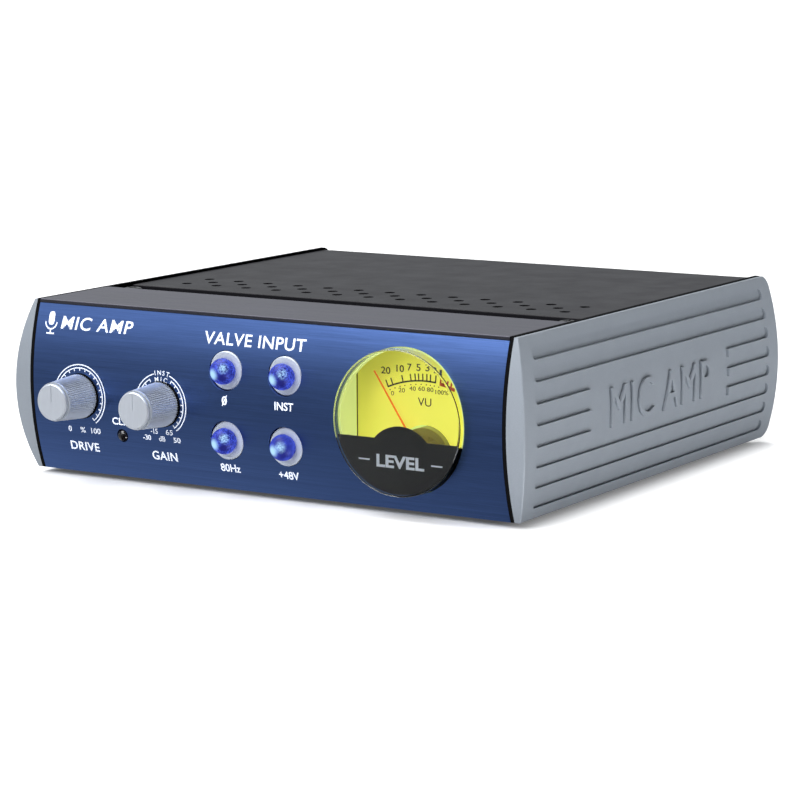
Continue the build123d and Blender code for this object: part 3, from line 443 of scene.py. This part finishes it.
def lit_button(name, centre, seed, crazing):
    """Frosted blue plastic lit from behind, with dark crazing and painted highlight, glow and shade."""
    made = Finish(name, BUTTON_DEEP, Roughness=0.38, IOR=1.49, Specular_IOR_Level=0.22)
    front = Vector((centre.x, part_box(name.replace("_glow", "_cap"))[0].y, UNDERSIDE + centre.y))
    craze = made.noise(2300.0, detail=4.0, rough=0.8, offset=(seed, 2 * seed, 3 * seed))
    cloud = made.noise(430.0, detail=3.0, offset=(5 * seed, seed, 0))
    rim = made.near(front + RIM_SPOT, 0.4 * MM, SPOT_EDGE)
    eye = made.near(front + EYE_SPOT + crazing * EYE_SHIFT, 0.2 * MM, 1.8 * MM)
    painted_shade_spot = made.near(front + SHADED_SPOT, 0.5 * MM, SPOT_EDGE)

    crackle = made.spread(craze, 0.5 - 0.5 * crazing, 0.6 + 0.75 * crazing, 0.41, 0.59)
    level = made.math("MULTIPLY", crackle, made.spread(cloud, 0.35, 1.15, 0.35, 0.65))
    # painted shade over one side of the cap
    shadow = made.spread(painted_shade_spot, 1.0, 0.25 - 0.24 * crazing, 0.0, 1.0)
    level = made.math("MULTIPLY", level, shadow, clamp=True)
    # painted lamp glow, then the painted rim highlight added to it
    painted_lamp_glow = made.math("MULTIPLY", eye, made.spread(craze, 0.5 - 0.5 * crazing, 1.15, 0.42, 0.60))
    painted_highlight = made.math("ADD", made.math("MULTIPLY", rim, 0.95), painted_lamp_glow, clamp=True)
    glow = made.mix(painted_highlight, made.mix(level, BUTTON_DEEP, BUTTON_GLOW), BUTTON_HIGHLIGHT)
    made.feed(made.shader.inputs["Emission Color"], glow)
    made.shader.inputs["Emission Strength"].default_value = 1.0
    made.bump(craze, 0.05 * MM, 0.4)
    return made


def lit_surface(name, colour, dim_colour, centre, near, far, strength, **values):
    """A matt surface glowing with painted light from a small lamp: bright near it, dimmer further off."""
    made = Finish(name, colour, **values)
    card = made.noise(9000.0, detail=2.0)
    drift = made.noise(60.0, detail=2.0)
    fall = made.near(centre, near, far)
    # the painted pool of lamp light
    painted_light_pool = made.math("MULTIPLY", fall, made.spread(drift, 0.9, 1.1), clamp=True)
    tone = made.mix(painted_light_pool, dim_colour, colour)
    made.colour(made.mix(made.spread(card, 0.0, 0.12), tone, shade(dim_colour, 0.8)))
    made.feed(made.shader.inputs["Emission Color"], tone)
    made.shader.inputs["Emission Strength"].default_value = strength
    made.bump(card, 0.004 * MM, 0.5)
    return made


def clear(name, colour, roughness=0.02, ior=1.49):
    """Clear plastic or glass, its surface very slightly uneven."""
    made = Finish(name, colour, IOR=ior, Roughness=roughness, Transmission_Weight=1.0)
    made.bump(made.noise(160.0, detail=1.0), 0.004 * MM, 0.5)
    return made


def plain_metal(name, colour, roughness):
    """Metal with an even, faint grain."""
    return brushed(name, colour, EVEN_GRAIN, contrast=0.08, Metallic=1.0, Roughness=roughness)


# points round which the meter lamp's light is painted on the parts it lights
lamp_centre = Vector((METER_PIVOT.x + 1.5 * MM, dial_low.y, UNDERSIDE + METER_PIVOT.y + 8.0 * MM))
dial_lamp = Vector((METER_PIVOT.x + 2.5 * MM, dial_low.y, UNDERSIDE + METER_PIVOT.y - 2.0 * MM))
finishes = {
    "blue_anodised": brushed(
        "blue_anodised", (0.124, 0.222, 0.56), ALONG_X, contrast=0.24, Metallic=1.0, Roughness=0.33,
        Anisotropic=0.5,
    ),
    "dark_brushed": brushed("dark_brushed", (0.082, 0.081, 0.101), ALONG_X, Metallic=0.9, Roughness=0.42),
    "black_powder": powder_coat(
        "black_powder", (0.0065, 0.0062, 0.0085), Roughness=0.5, Specular_IOR_Level=0.21,
    ),
    "black_satin": moulded("black_satin", (0.003, 0.003, 0.0035), Roughness=0.85, Specular_IOR_Level=0.06),
    "silver_moulding": moulded(
        "silver_moulding", (0.218, 0.243, 0.277), speckle=0.06, Metallic=0.2, Roughness=0.4,
    ),
    "foot_rubber": moulded("foot_rubber", (0.018, 0.018, 0.018), grain=3000.0, Roughness=0.8),
    "black_screw": powder_coat("black_screw", (0.03, 0.03, 0.032), Metallic=0.7, Roughness=0.3),
    "zinc_steel": plain_metal("zinc_steel", (0.6, 0.6, 0.57), 0.32),
    "knob_silver": brushed("knob_silver", (0.52, 0.56, 0.62), ALONG_AXIS_FINE, Metallic=0.55, Roughness=0.38),
    "knob_face": brushed(
        "knob_face", (0.52, 0.555, 0.615), ALONG_Z, contrast=0.08, Metallic=0.55, Roughness=0.36,
    ),
    "shaft_metal": plain_metal("shaft_metal", (0.58, 0.58, 0.58), 0.3),
    "part_plastic": moulded("part_plastic", (0.05, 0.05, 0.055), Roughness=0.5),
    "lamp_clear": clear("lamp_clear", (0.75, 0.82, 1.0)),
    "lamp_smoked": moulded(
        "lamp_smoked", (0.006, 0.005, 0.006), Roughness=0.12, Coat_Weight=1.0, Coat_Roughness=0.03,
    ),
    "lamp_amber": lit_surface(
        "lamp_amber", (1.0, 0.85, 0.4), (0.9, 0.6, 0.2), lamp_centre, 4 * MM, 20 * MM, 2.0,
    ),
    "collar_silver": brushed(
        "collar_silver", (0.52, 0.57, 0.65), ALONG_AXIS, contrast=0.07, Metallic=0.4, Roughness=0.42,
    ),
    "meter_acrylic": clear("meter_acrylic", (0.985, 0.995, 0.985)),
    "mask_black": moulded("mask_black", (0.005, 0.0052, 0.006), Roughness=0.4),
    # dial, shell, magnet and needle: glows of painted lamp light
    "dial_yellow": lit_surface(
        "dial_yellow", (0.82, 0.78, 0.10), (0.34, 0.32, 0.014), dial_lamp, 12 * MM, 42 * MM, 0.56,
        Roughness=0.7,
    ),
    "meter_shell": lit_surface(
        "meter_shell", (0.56, 0.66, 0.24), (0.46, 0.54, 0.20), lamp_centre, 8 * MM, 34 * MM, 0.8,
        Roughness=0.45,
    ),
    "magnet_steel": lit_surface(
        "magnet_steel", (0.22, 0.19, 0.035), (0.07, 0.06, 0.012), lamp_centre, 2 * MM, 12 * MM, 0.55,
        Metallic=0.4, Roughness=0.4,
    ),
    "contact_brass": plain_metal("contact_brass", (0.62, 0.45, 0.16), 0.32),
    "copper_winding": brushed("copper_winding", (0.72, 0.20, 0.05), WOUND, Metallic=0.7, Roughness=0.35),
    "needle_red": lit_surface(
        "needle_red", (0.86, 0.18, 0.01), (0.7, 0.13, 0.01), lamp_centre, 6 * MM, 22 * MM, 0.5,
        Roughness=0.6, Specular_IOR_Level=0.2,
    ),
    "board_green": moulded("board_green", (0.025, 0.14, 0.07), grain=1500.0, speckle=0.2, Roughness=0.35),
    "tube_glass": clear("tube_glass", (0.93, 0.97, 0.97)),
    "electrode_grey": plain_metal("electrode_grey", (0.15, 0.15, 0.16), 0.5),
    "socket_white": moulded("socket_white", (0.78, 0.76, 0.7), Roughness=0.5),
    "capacitor_sleeve": moulded("capacitor_sleeve", (0.02, 0.028, 0.075), Roughness=0.3),
    "chip_epoxy": moulded("chip_epoxy", (0.022, 0.022, 0.023), grain=3500.0, Roughness=0.6),
    "connector_black": moulded("connector_black", (0.018, 0.018, 0.0195), Roughness=0.42),
    "latch_metal": plain_metal("latch_metal", (0.66, 0.65, 0.62), 0.22),
    "contact_silver": plain_metal("contact_silver", (0.75, 0.74, 0.7), 0.25),
    "jack_black": moulded("jack_black", (0.02, 0.02, 0.021), Roughness=0.45),
    "nut_black": moulded("nut_black", (0.024, 0.024, 0.025), Roughness=0.3),
    "rocker_black": moulded("rocker_black", (0.022, 0.022, 0.024), Roughness=0.28),
}
wall_acrylic = clear("meter_acrylic_frosted", (0.98, 0.985, 0.80), roughness=0.06, ior=1.12)
white_ink = moulded("white_ink", (0.74, 0.79, 0.88), grain=9000.0, Roughness=0.5)
dial_black = moulded("dial_black_ink", (0.02, 0.02, 0.008), grain=9000.0, Roughness=0.6)
dial_red = moulded("dial_red_ink", (0.62, 0.07, 0.01), grain=9000.0, Roughness=0.6)

for entry in frame["record"]["subparts"]:
    node, slot = entry["node"], entry["material_slot"]
    if slot == "button_blue":
        button = node.replace("_button_cap", "")
        seed = 1.0 + list(BUTTONS).index(button)
        look = lit_button(f"{button}_button_glow", BUTTONS[button], seed, CRAZING[button])
    else:
        look = finishes[slot]
    materials = frame["nodes"][node].data.materials
    materials.clear()
    materials.append(look.material)

# ---------------------------------------------------------------- print on the front panel
LINE = 0.26 * MM
SCALE_SWEEP = 146.0                           # degrees each way from straight up
SCALE_STEPS = 20
SCALE_TICK = 0.7 * MM


def scale_ring(marking, centre, radius, gap=0.0):
    """An arc with ticks turned inwards, left open within gap degrees of the top."""
    spans = [(-SCALE_SWEEP, -gap), (gap, SCALE_SWEEP)] if gap else [(-SCALE_SWEEP, SCALE_SWEEP)]
    for start, end in spans:
        marking.arc(centre, radius, LINE, start, end)
    for i in range(SCALE_STEPS + 1):
        angle = SCALE_SWEEP * (2 * i / SCALE_STEPS - 1)
        if abs(angle) > gap - 1:
            marking.tick(centre, angle, radius - SCALE_TICK, radius + LINE / 2, LINE)


def labels(marking, height, entries, weight=0.01):
    """Prints texts, each given with its middle (x and height) and its width, in mm."""
    for text, x, middle, width in entries:
        marking.letters(text, mm(x, middle), height, width * MM, weight=weight)


drive_print = Marking()
drive_print.arc(KNOBS["drive"], 7.85 * MM, LINE, -SCALE_SWEEP, SCALE_SWEEP)
scale_ring(drive_print, KNOBS["drive"], 7.05 * MM)
labels(
    drive_print,
    1.4 * MM,
    (("0", -57.3, 11.3, 1.0), ("%", -53.2, 11.3, 1.6), ("100", -49.2, 11.3, 2.9)),
)
drive_print.letters("DRIVE", mm(-53.4, 7.0), 2.2 * MM, 9.0 * MM, weight=0.016, spacing=1.05)
drive_print.lay("drive_scale_print", on_panel, white_ink.material)

gain_print = Marking()
for start, end in ((-SCALE_SWEEP, -16), (20, SCALE_SWEEP)):
    gain_print.arc(KNOBS["gain"], 7.6 * MM, LINE, start, end)
scale_ring(gain_print, KNOBS["gain"], 6.75 * MM, gap=29.2)
# two words set round the knob, their middles a little to the right of its top
for text, radius, apart in (("INST", 7.75, 9.6), ("MIC", 6.15, 12.5)):
    for i, letter in enumerate(text):
        angle = (i - (len(text) - 1) / 2) * apart + 1.5
        spot = at_angle(KNOBS["gain"], radius * MM, angle)
        gain_print.letters(letter, spot, 1.15 * MM, turn=angle, weight=0.006)
labels(
    gain_print,
    1.3 * MM,
    (
        ("-15", -30.9, 13.0, 2.1),
        ("65", -26.3, 13.0, 2.1),
        ("-30", -33.3, 11.2, 2.4),
        ("dB", -28.7, 11.2, 1.9),
        ("50", -24.2, 11.2, 2.1),
    ),
)
gain_print.letters("GAIN", mm(-28.66, 6.75), 2.2 * MM, 7.6 * MM, weight=0.016, spacing=1.05)
gain_print.lay("gain_scale_print", on_panel, white_ink.material)

label_print = Marking()
label_print.letters("CLIP", mm(-40.9, 14.5), 1.8 * MM, 5.4 * MM, weight=0.015)
label_print.letters("0", mm(-9.17, 22.4), 2.1 * MM, 1.5 * MM, weight=0.015)
label_print.line(mm(-9.8, 21.1), mm(-8.5, 23.7), LINE, pieces=3)     # the stroke of the phase sign
labels(
    label_print,
    1.95 * MM,
    (("INST", 8.16, 22.4, 5.4), ("80Hz", -9.13, 5.6, 5.8), ("+48V", 7.9, 5.4, 5.8)),
    weight=0.014,
)
label_print.lay("control_label_print", on_panel, white_ink.material)

title_print = Marking()
title_print.letters("VALVE INPUT", mm(-1.4, 37.1), 2.9 * MM, 29.5 * MM, weight=0.012, spacing=1.06)
title_print.lay("title_print", on_panel, white_ink.material)

mark_print = Marking()
# a small microphone: its capsule, cradle, stem and foot, and then the words beside it
capsule = [mm(-63.4, 36.9 + 0.4 * i) for i in range(9)]
mark_print.ribbon(capsule, [w * MM for w in (0.9, 1.6, 1.8, 1.8, 1.8, 1.8, 1.8, 1.6, 0.9)])
mark_print.arc(mm(-63.4, 37.6), 1.75 * MM, 0.34 * MM, 90, 270)
mark_print.line(mm(-63.4, 35.9), mm(-63.4, 34.9), 0.34 * MM)
mark_print.line(mm(-64.6, 34.8), mm(-62.2, 34.8), 0.34 * MM)
mark_print.letters("MIC AMP", mm(-49.0, 37.7), 3.1 * MM, 22.0 * MM, weight=0.01, lean=8, spacing=1.08)
mark_print.lay("microphone_mark_print", on_panel, white_ink.material)

# ---------------------------------------------------------------- solids turned about an axis along Y
ROUND_STEPS = 120
GAP_STEPS = 64
RIM_STEPS = 8
SMOOTH = 30                                   # degrees


def turned(centre, profile, start=0.0, end=360.0, steps=ROUND_STEPS):
    """A closed profile turned all the way round, or from one angle to another.

    Each point of the profile is (radius, depth, share), in mm, with the depth and share of behind_edges.
    """
    bm = bmesh.new()
    whole = end - start >= 360
    rows = []
    for i in range(steps if whole else steps + 1):
        angle = start + (end - start) * i / steps
        row = []
        for radius, depth, share in profile:
            spot = at_angle(centre, radius * MM, angle)
            row.append(bm.verts.new(behind_edges(spot, depth, share)))
        rows.append(row)
    if whole:
        skin(bm, rows + rows[:1], capped=False)
    else:
        skin(bm, rows)
    bmesh.ops.remove_doubles(bm, verts=bm.verts, dist=WELD)
    bmesh.ops.recalc_face_normals(bm, faces=bm.faces)
    return bm


def rounded(radius, depth, size):
    """Profile points round a quarter circle, from facing forward to facing outward."""
    turns = [math.pi / 2 * i / RIM_STEPS for i in range(RIM_STEPS + 1)]
    return [(radius + size * math.sin(a), depth - size * math.cos(a), 0) for a in turns]


def bar_ring(inner, outer, front, back, share):
    """The profile of a plain ring."""
    return [(inner, front, share), (outer, front, share), (outer, back, share), (inner, back, share)]


# ---------------------------------------------------------------- meter: window, mask and case
# in mm: the wall's gap behind the window, the skirt behind the mask's rim, and the liner, which reaches
# further inside and outside than the wall does
WALL_GAP, WALL_REAR = 0.02, 0.6
SKIRT_WALL, SKIRT_SET_BACK, SKIRT_REAR = 0.35, 0.2, -0.9
LINER_FRONT, LINER_INSIDE, LINER_OUTSIDE = 0.65, 0.25, 0.1
MASK_STEPS, HUMP_STEPS, CASE_STEPS = 72, 32, 14

window_inner = LENS_RADIUS - WINDOW_WALL
window_back = LENS_FRONT + WINDOW_THICKNESS
window_profile = [(0, LENS_FRONT, 0)]
window_profile += rounded(LENS_RADIUS - LENS_RIM, LENS_FRONT + LENS_RIM, LENS_RIM)
window_profile += [(LENS_RADIUS, window_back, 0), (0, window_back, 0)]
window_mesh = turned(METER_CENTRE, window_profile)
window_look = finishes["meter_acrylic"]
window = piece("meter_window", window_mesh, window_look.material, smooth_to=SMOOTH)
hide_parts("meter_lens")

wall_front = window_back + WALL_GAP
wall_profile = [(window_inner, wall_front, 0), (LENS_RADIUS, wall_front, 0)]
wall_profile += [(LENS_RADIUS, WALL_REAR, 1), (window_inner, WALL_REAR, 1)]
wall_mesh = turned(METER_CENTRE, wall_profile)
piece("meter_window_wall", wall_mesh, wall_acrylic.material, smooth_to=SMOOTH)

mask_angle = math.degrees(math.acos((MASK_EDGE * MM - METER_CENTRE.y) / (MASK_RADIUS * MM)))
hump_angle = math.degrees(math.acos((MASK_EDGE * MM - HUMP_CENTRE.y) / (HUMP_RADIUS * MM)))
shade_angle = mask_angle + 2.6                # the dark parts behind the mask's edge end a little lower

# the mask is round below and straight above, with a round hump, and has a skirt behind its rim
mask_outline = arc_points(METER_CENTRE, MASK_RADIUS * MM, mask_angle, 360 - mask_angle, MASK_STEPS)
mask_outline += arc_points(HUMP_CENTRE, HUMP_RADIUS * MM, -hump_angle, hump_angle, HUMP_STEPS)
skirt_front = MASK_FRONT + SKIRT_SET_BACK
skirt_profile = bar_ring(MASK_RADIUS - SKIRT_WALL, MASK_RADIUS, skirt_front, SKIRT_REAR, 0)
mask_mesh = turned(METER_CENTRE, skirt_profile, shade_angle, 360 - shade_angle)
mask_loops = []
for depth in (MASK_FRONT, MASK_FRONT + MASK_THICKNESS):
    mask_loops.append([mask_mesh.verts.new(behind_edges(spot, depth)) for spot in mask_outline])
bmesh.ops.triangulate(mask_mesh, faces=skin(mask_mesh, mask_loops))
bmesh.ops.recalc_face_normals(mask_mesh, faces=mask_mesh.faces)
mask = piece("meter_mask_plate", mask_mesh, finishes["mask_black"].material, smooth_to=SMOOTH)
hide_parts("meter_mask")

# the panel's hole is lined above the mask with the shell's painted lamp glow, and with black below its edge
liner_profile = bar_ring(
    window_inner - LINER_INSIDE, LENS_RADIUS + LINER_OUTSIDE, LINER_FRONT, PANEL_BACK, 1
)
for name, slot, start, end in (
    ("meter_upper_liner", "meter_shell", -shade_angle, shade_angle),
    ("meter_lower_liner", "mask_black", shade_angle, 360 - shade_angle),
):
    liner_mesh = turned(METER_CENTRE, liner_profile, start, end)
    piece(name, liner_mesh, finishes[slot].material, smooth_to=SMOOTH)


def case_loop(inset, depth, share):
    """Points round a rectangle inside the meter case's outline."""
    low = Vector([edge + inset for edge in CASE_LOW])
    high = Vector([edge - inset for edge in CASE_HIGH])
    corners = [low, Vector((high.x, low.y)), high, Vector((low.x, high.y))]
    loop = []
    for start, end in zip(corners, corners[1:] + corners[:1]):
        for i in range(CASE_STEPS):
            loop.append(behind_edges(start.lerp(end, i / CASE_STEPS) * MM, depth, share))
    return loop


# the case is an open box: outside from the rear to the panel, then inside from the panel to the floor
case_mesh = bmesh.new()
case_loops = []
for inset, depth, share in (
    (0, CASE_REAR, 0),
    (0, PANEL_BACK, 1),
    (CASE_WALL, PANEL_BACK, 1),
    (CASE_WALL, CASE_REAR - CASE_WALL, 0),
):
    case_loops.append([case_mesh.verts.new(spot) for spot in case_loop(inset, depth, share)])
skin(case_mesh, case_loops)
bmesh.ops.recalc_face_normals(case_mesh, faces=case_mesh.faces)
# the meter case glows with painted lamp light
case = piece("meter_case", case_mesh, finishes["meter_shell"].material)
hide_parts("meter_housing")

# ---------------------------------------------------------------- painted shade behind each knob
SHADE_RING_INNER, SHADE_RING_OUTER, SHADE_RING_PROUD = 3.6, 5.7, 0.32     # mm

for name, centre in KNOBS.items():
    # a black ring standing for the shade in the gap between knob and panel
    shade_ring_mesh = turned(centre, bar_ring(SHADE_RING_INNER, SHADE_RING_OUTER, -SHADE_RING_PROUD, 0.0, 1), steps=GAP_STEPS)
    piece(f"{name}_painted_shade_ring", shade_ring_mesh, finishes["black_satin"].material, smooth_to=SMOOTH)

# ---------------------------------------------------------------- print on the meter's dial and mask
DIAL_CENTRE = mm(41.94, 4.7)
DIAL_RADIUS = 25.1 * MM
# angles from straight up, in degrees
DIAL_BLACK_TICKS = (-23.2, -20.1, -13.5, -8.5, -5.8, -3.8, -1.3, 1.1, 3.2, 6.3)
DIAL_RED_TICKS = (9.3, 11.5, 13.8, 16.2, 18.6)
DIAL_RED_START, DIAL_RED_END = 8.9, 19.0
DIAL_PERCENT_DOTS = (-22.8, -19.4, -16.0, -12.9, -9.0, -5.8, -2.5, 0.8, 3.4, 5.8, 8.6)
LABEL_X, LABEL_UP = 41.5, 12.3                # the middle of the mask's label, in mm

dial_print = Marking()
dial_print.arc(DIAL_CENTRE, DIAL_RADIUS, 0.36 * MM, DIAL_BLACK_TICKS[0] - 0.4, DIAL_BLACK_TICKS[-1] + 0.4)
for angle in DIAL_BLACK_TICKS:
    dial_print.tick(DIAL_CENTRE, angle, DIAL_RADIUS, DIAL_RADIUS + 1.65 * MM, 0.3 * MM)
for angle in DIAL_PERCENT_DOTS:
    dial_print.dot(at_angle(DIAL_CENTRE, DIAL_RADIUS - 0.85 * MM, angle), 0.14 * MM)
labels(
    dial_print,
    1.6 * MM,
    (
        ("20", 31.4, 31.5, 2.5),
        ("10", 35.3, 32.2, 2.0),
        ("7", 37.8, 32.7, 1.1),
        ("5", 40.2, 32.8, 1.1),
        ("3", 42.6, 32.9, 1.1),
        ("2", 44.7, 32.6, 1.0),
        ("1", 46.3, 32.1, 0.6),
    ),
)
labels(
    dial_print,
    1.0 * MM,
    (
        ("0", 33.2, 26.3, 0.8),
        ("20", 35.7, 27.2, 1.7),
        ("40", 38.6, 27.8, 1.7),
        ("60", 41.0, 27.95, 1.7),
        ("80", 43.3, 27.9, 1.7),
        ("100%", 46.4, 27.5, 3.4),
    ),
    weight=0.0,
)
dial_print.letters("VU", mm(41.8, 24.9), 1.9 * MM, 3.6 * MM)
dial_print.line(mm(23.6, 8.0), mm(23.6, 38.0), 0.3 * MM)     # painted shade by the case's left wall
dial_print.lay("dial_scale_print", on_dial, dial_black.material)

dial_red_print = Marking()
dial_red_print.arc(DIAL_CENTRE, DIAL_RADIUS - 0.05 * MM, 0.8 * MM, DIAL_RED_START, DIAL_RED_END)
for angle in DIAL_RED_TICKS:
    dial_red_print.tick(DIAL_CENTRE, angle, DIAL_RADIUS, DIAL_RADIUS + 1.35 * MM, 0.42 * MM)
dial_red_print.lay("dial_overload_print", on_dial, dial_red.material)

mask_print = Marking()
mask_print.letters("LEVEL", mm(LABEL_X, LABEL_UP), 3.0 * MM, 13.0 * MM, weight=0.03)
for side in (-1, 1):
    inner, outer = mm(LABEL_X + side * 8.4, LABEL_UP), mm(LABEL_X + side * 11.4, LABEL_UP)
    mask_print.line(inner, outer, 0.35 * MM)
mask_print.lay("meter_label_print", on_mask, white_ink.material)

# ---------------------------------------------------------------- relief on the cheeks, print on the rear
for side, name in ((1, "right"), (-1, "left")):
    relief = Marking()
    middle = Vector((side * PLAQUE_MIDDLE.x, PLAQUE_MIDDLE.y))
    relief.letters("MIC AMP", middle, 9.5 * MM, 53.0 * MM, spacing=1.1)
    relief.lay(
        f"{name}_cheek_lettering", on_cheek(side), finishes["silver_moulding"].material,
        thickness=0.0, sink=PLAQUE_DEPTH + 0.05 * MM,
    )

rear_print = Marking()
labels(
    rear_print,
    1.9 * MM,
    (
        ("INST IN", 52.0, 3.5, 9.0),
        ("MIC IN", 28.0, 3.5, 8.5),
        ("OUT", 1.0, 3.5, 4.6),
        ("LINE OUT", -20.0, 3.5, 11.0),
        ("POWER", -38.0, 3.5, 8.4),
        ("DC IN", -55.0, 3.5, 6.6),
    ),
    weight=0.02,
)
rear_print.lay("rear_label_print", on_rear, white_ink.material)

# ---------------------------------------------------------------- floor, light and camera
ROOM_RADIUS = 25.0                            # metres
FLOOR_GLOW = (0.07, 1.7)                      # on the left and on the right, where it fades the shadow
FLOOR_GLOW_SPAN = (60 * MM, 105 * MM)         # the stretch across that it changes over
AIM = Vector((0, 0, 20 * MM))


def staged(name, bm, look):
    """A surface of the room, seen directly but not in reflections or through glass."""
    made = add_mesh(name, bm, look.material)
    made.visible_glossy = False
    made.visible_transmission = False
    return made


floor_look = Finish("studio_floor", (0.87, 0.87, 0.87), Roughness=0.8, Specular_IOR_Level=0.1)
floor_look.shader.inputs["Emission Color"].default_value = (1, 1, 1, 1)
across = floor_look.node("ShaderNodeSeparateXYZ", {0: floor_look.place}).outputs["X"]
floor_glow = floor_look.spread(across, *FLOOR_GLOW, *FLOOR_GLOW_SPAN, smooth=True)
floor_look.feed(floor_look.shader.inputs["Emission Strength"], floor_glow)
floor_mesh = bmesh.new()
bmesh.ops.create_circle(floor_mesh, cap_ends=True, segments=64, radius=ROOM_RADIUS)
floor = staged("studio_floor", floor_mesh, floor_look)
floor.visible_shadow = False

room_look = Finish("studio_backdrop", (0, 0, 0), Specular_IOR_Level=0.0, Emission_Strength=1.0)
room_look.shader.inputs["Emission Color"].default_value = (1, 1, 1, 1)
room_mesh = bmesh.new()
bmesh.ops.create_icosphere(room_mesh, subdivisions=4, radius=ROOM_RADIUS)
room = staged("studio_backdrop", room_mesh, room_look)
room.visible_diffuse = False
room.visible_shadow = False


def aimed(name, kind, place, energy, **settings):
    """A light that points at the device."""
    lamp = bpy.data.lights.new(name, kind)
    lamp.energy = energy
    for setting, value in settings.items():
        setattr(lamp, setting, value)
    holder = bpy.data.objects.new(name, lamp)
    holder.location = place
    holder.rotation_euler = (AIM - Vector(place)).to_track_quat("-Z", "Y").to_euler()
    bpy.context.scene.collection.objects.link(holder)
    return holder


aimed("overhead_light", "SUN", (-0.33, 0.03, 1.0), 3.2, angle=math.radians(56))
aimed("high_front_light", "AREA", (0.05, -1.0, 1.05), 9.0, shape="RECTANGLE", size=1.2, size_y=0.5)
front = aimed("front_light", "AREA", (-0.25, -1.1, 0.62), 8.5, shape="RECTANGLE", size=0.9, size_y=0.4)
front.visible_glossy = False
# the floor casts no shadow, so this one lights the right cheek from below it
aimed("side_light", "AREA", (0.75, -0.10, -0.55), 3.5, shape="RECTANGLE", size=0.7, size_y=0.3)

# the room's tone for each height (-1 to 1) that a direction points at, on its left side and on its right
LEFT_TONES = ((-1.0, 0.62), (-0.6, 0.64), (-0.16, 0.27), (0.08, 0.31), (0.44, 0.98), (1.0, 0.42))
RIGHT_TONES = ((-1.0, 0.05), (-0.6, 0.02), (-0.16, 0.15), (0.12, 0.26), (0.50, 1.15), (1.0, 0.42))
TONE_TINT = (0.93, 0.965, 1.0)
# how far to the right (-1 to 1) a direction points where the two sides meet, and where the room dims
SIDES_MEET = (-0.60, -0.48)
DIMMING = (-0.35, 0.20)
DIMMED = 0.08

world = bpy.data.worlds.new("studio")
bpy.context.scene.world = world
world.use_nodes = True
nodes, links = world.node_tree.nodes, world.node_tree.links
split = nodes.new("ShaderNodeSeparateXYZ")
links.new(nodes.new("ShaderNodeTexCoord").outputs["Generated"], split.inputs[0])


def ranged(source, from_low, from_high, to_low=0.0, to_high=1.0):
    """Maps one range of a world node's value to another, without going past its ends."""
    made = nodes.new("ShaderNodeMapRange")
    made.inputs["From Min"].default_value = from_low
    made.inputs["From Max"].default_value = from_high
    made.inputs["To Min"].default_value = to_low
    made.inputs["To Max"].default_value = to_high
    links.new(source, made.inputs["Value"])
    return made.outputs[0]


def tone_ramp(tones):
    """A colour ramp over the height that a direction points at."""
    made = nodes.new("ShaderNodeValToRGB")
    links.new(ranged(split.outputs["Z"], -1.0, 1.0), made.inputs[0])
    for place, tone in tones[1:-1]:
        made.color_ramp.elements.new((place + 1) / 2)
    for element, (place, tone) in zip(made.color_ramp.elements, tones):
        element.position = (place + 1) / 2
        element.color = (*(part * tone for part in TONE_TINT), 1)
    return made.outputs[0]


sides = nodes.new("ShaderNodeMix")
sides.data_type = "RGBA"
links.new(ranged(split.outputs["X"], *SIDES_MEET), sides.inputs["Factor"])
links.new(tone_ramp(LEFT_TONES), sides.inputs[COLOUR_A])
links.new(tone_ramp(RIGHT_TONES), sides.inputs[COLOUR_B])
links.new(sides.outputs[COLOUR_RESULT], nodes["Background"].inputs["Color"])
links.new(ranged(split.outputs["X"], *DIMMING, 1.0, DIMMED), nodes["Background"].inputs["Strength"])

CAMERA_PLACE = (0.3936, -0.61915, 0.1385)
AZIMUTH, ELEVATION, ROLL = 32.33, 9.49, -0.43     # degrees, with azimuth from straight ahead to the right
camera_data = bpy.data.cameras.new("camera")
camera_data.lens = 130.43
camera_data.sensor_width = 36.0
camera_data.clip_start = 0.02
camera_data.clip_end = 60.0
camera = bpy.data.objects.new("camera", camera_data)
turn = (
    Matrix.Rotation(math.radians(AZIMUTH), 4, "Z")
    @ Matrix.Rotation(math.radians(90 - ELEVATION), 4, "X")
    @ Matrix.Rotation(math.radians(ROLL), 4, "Z")
)
camera.matrix_world = Matrix.Translation(CAMERA_PLACE) @ turn
bpy.context.scene.collection.objects.link(camera)
bpy.context.scene.camera = camera
bpy.context.scene.view_settings.view_transform = "Standard"

bpy.context.view_layer.update()
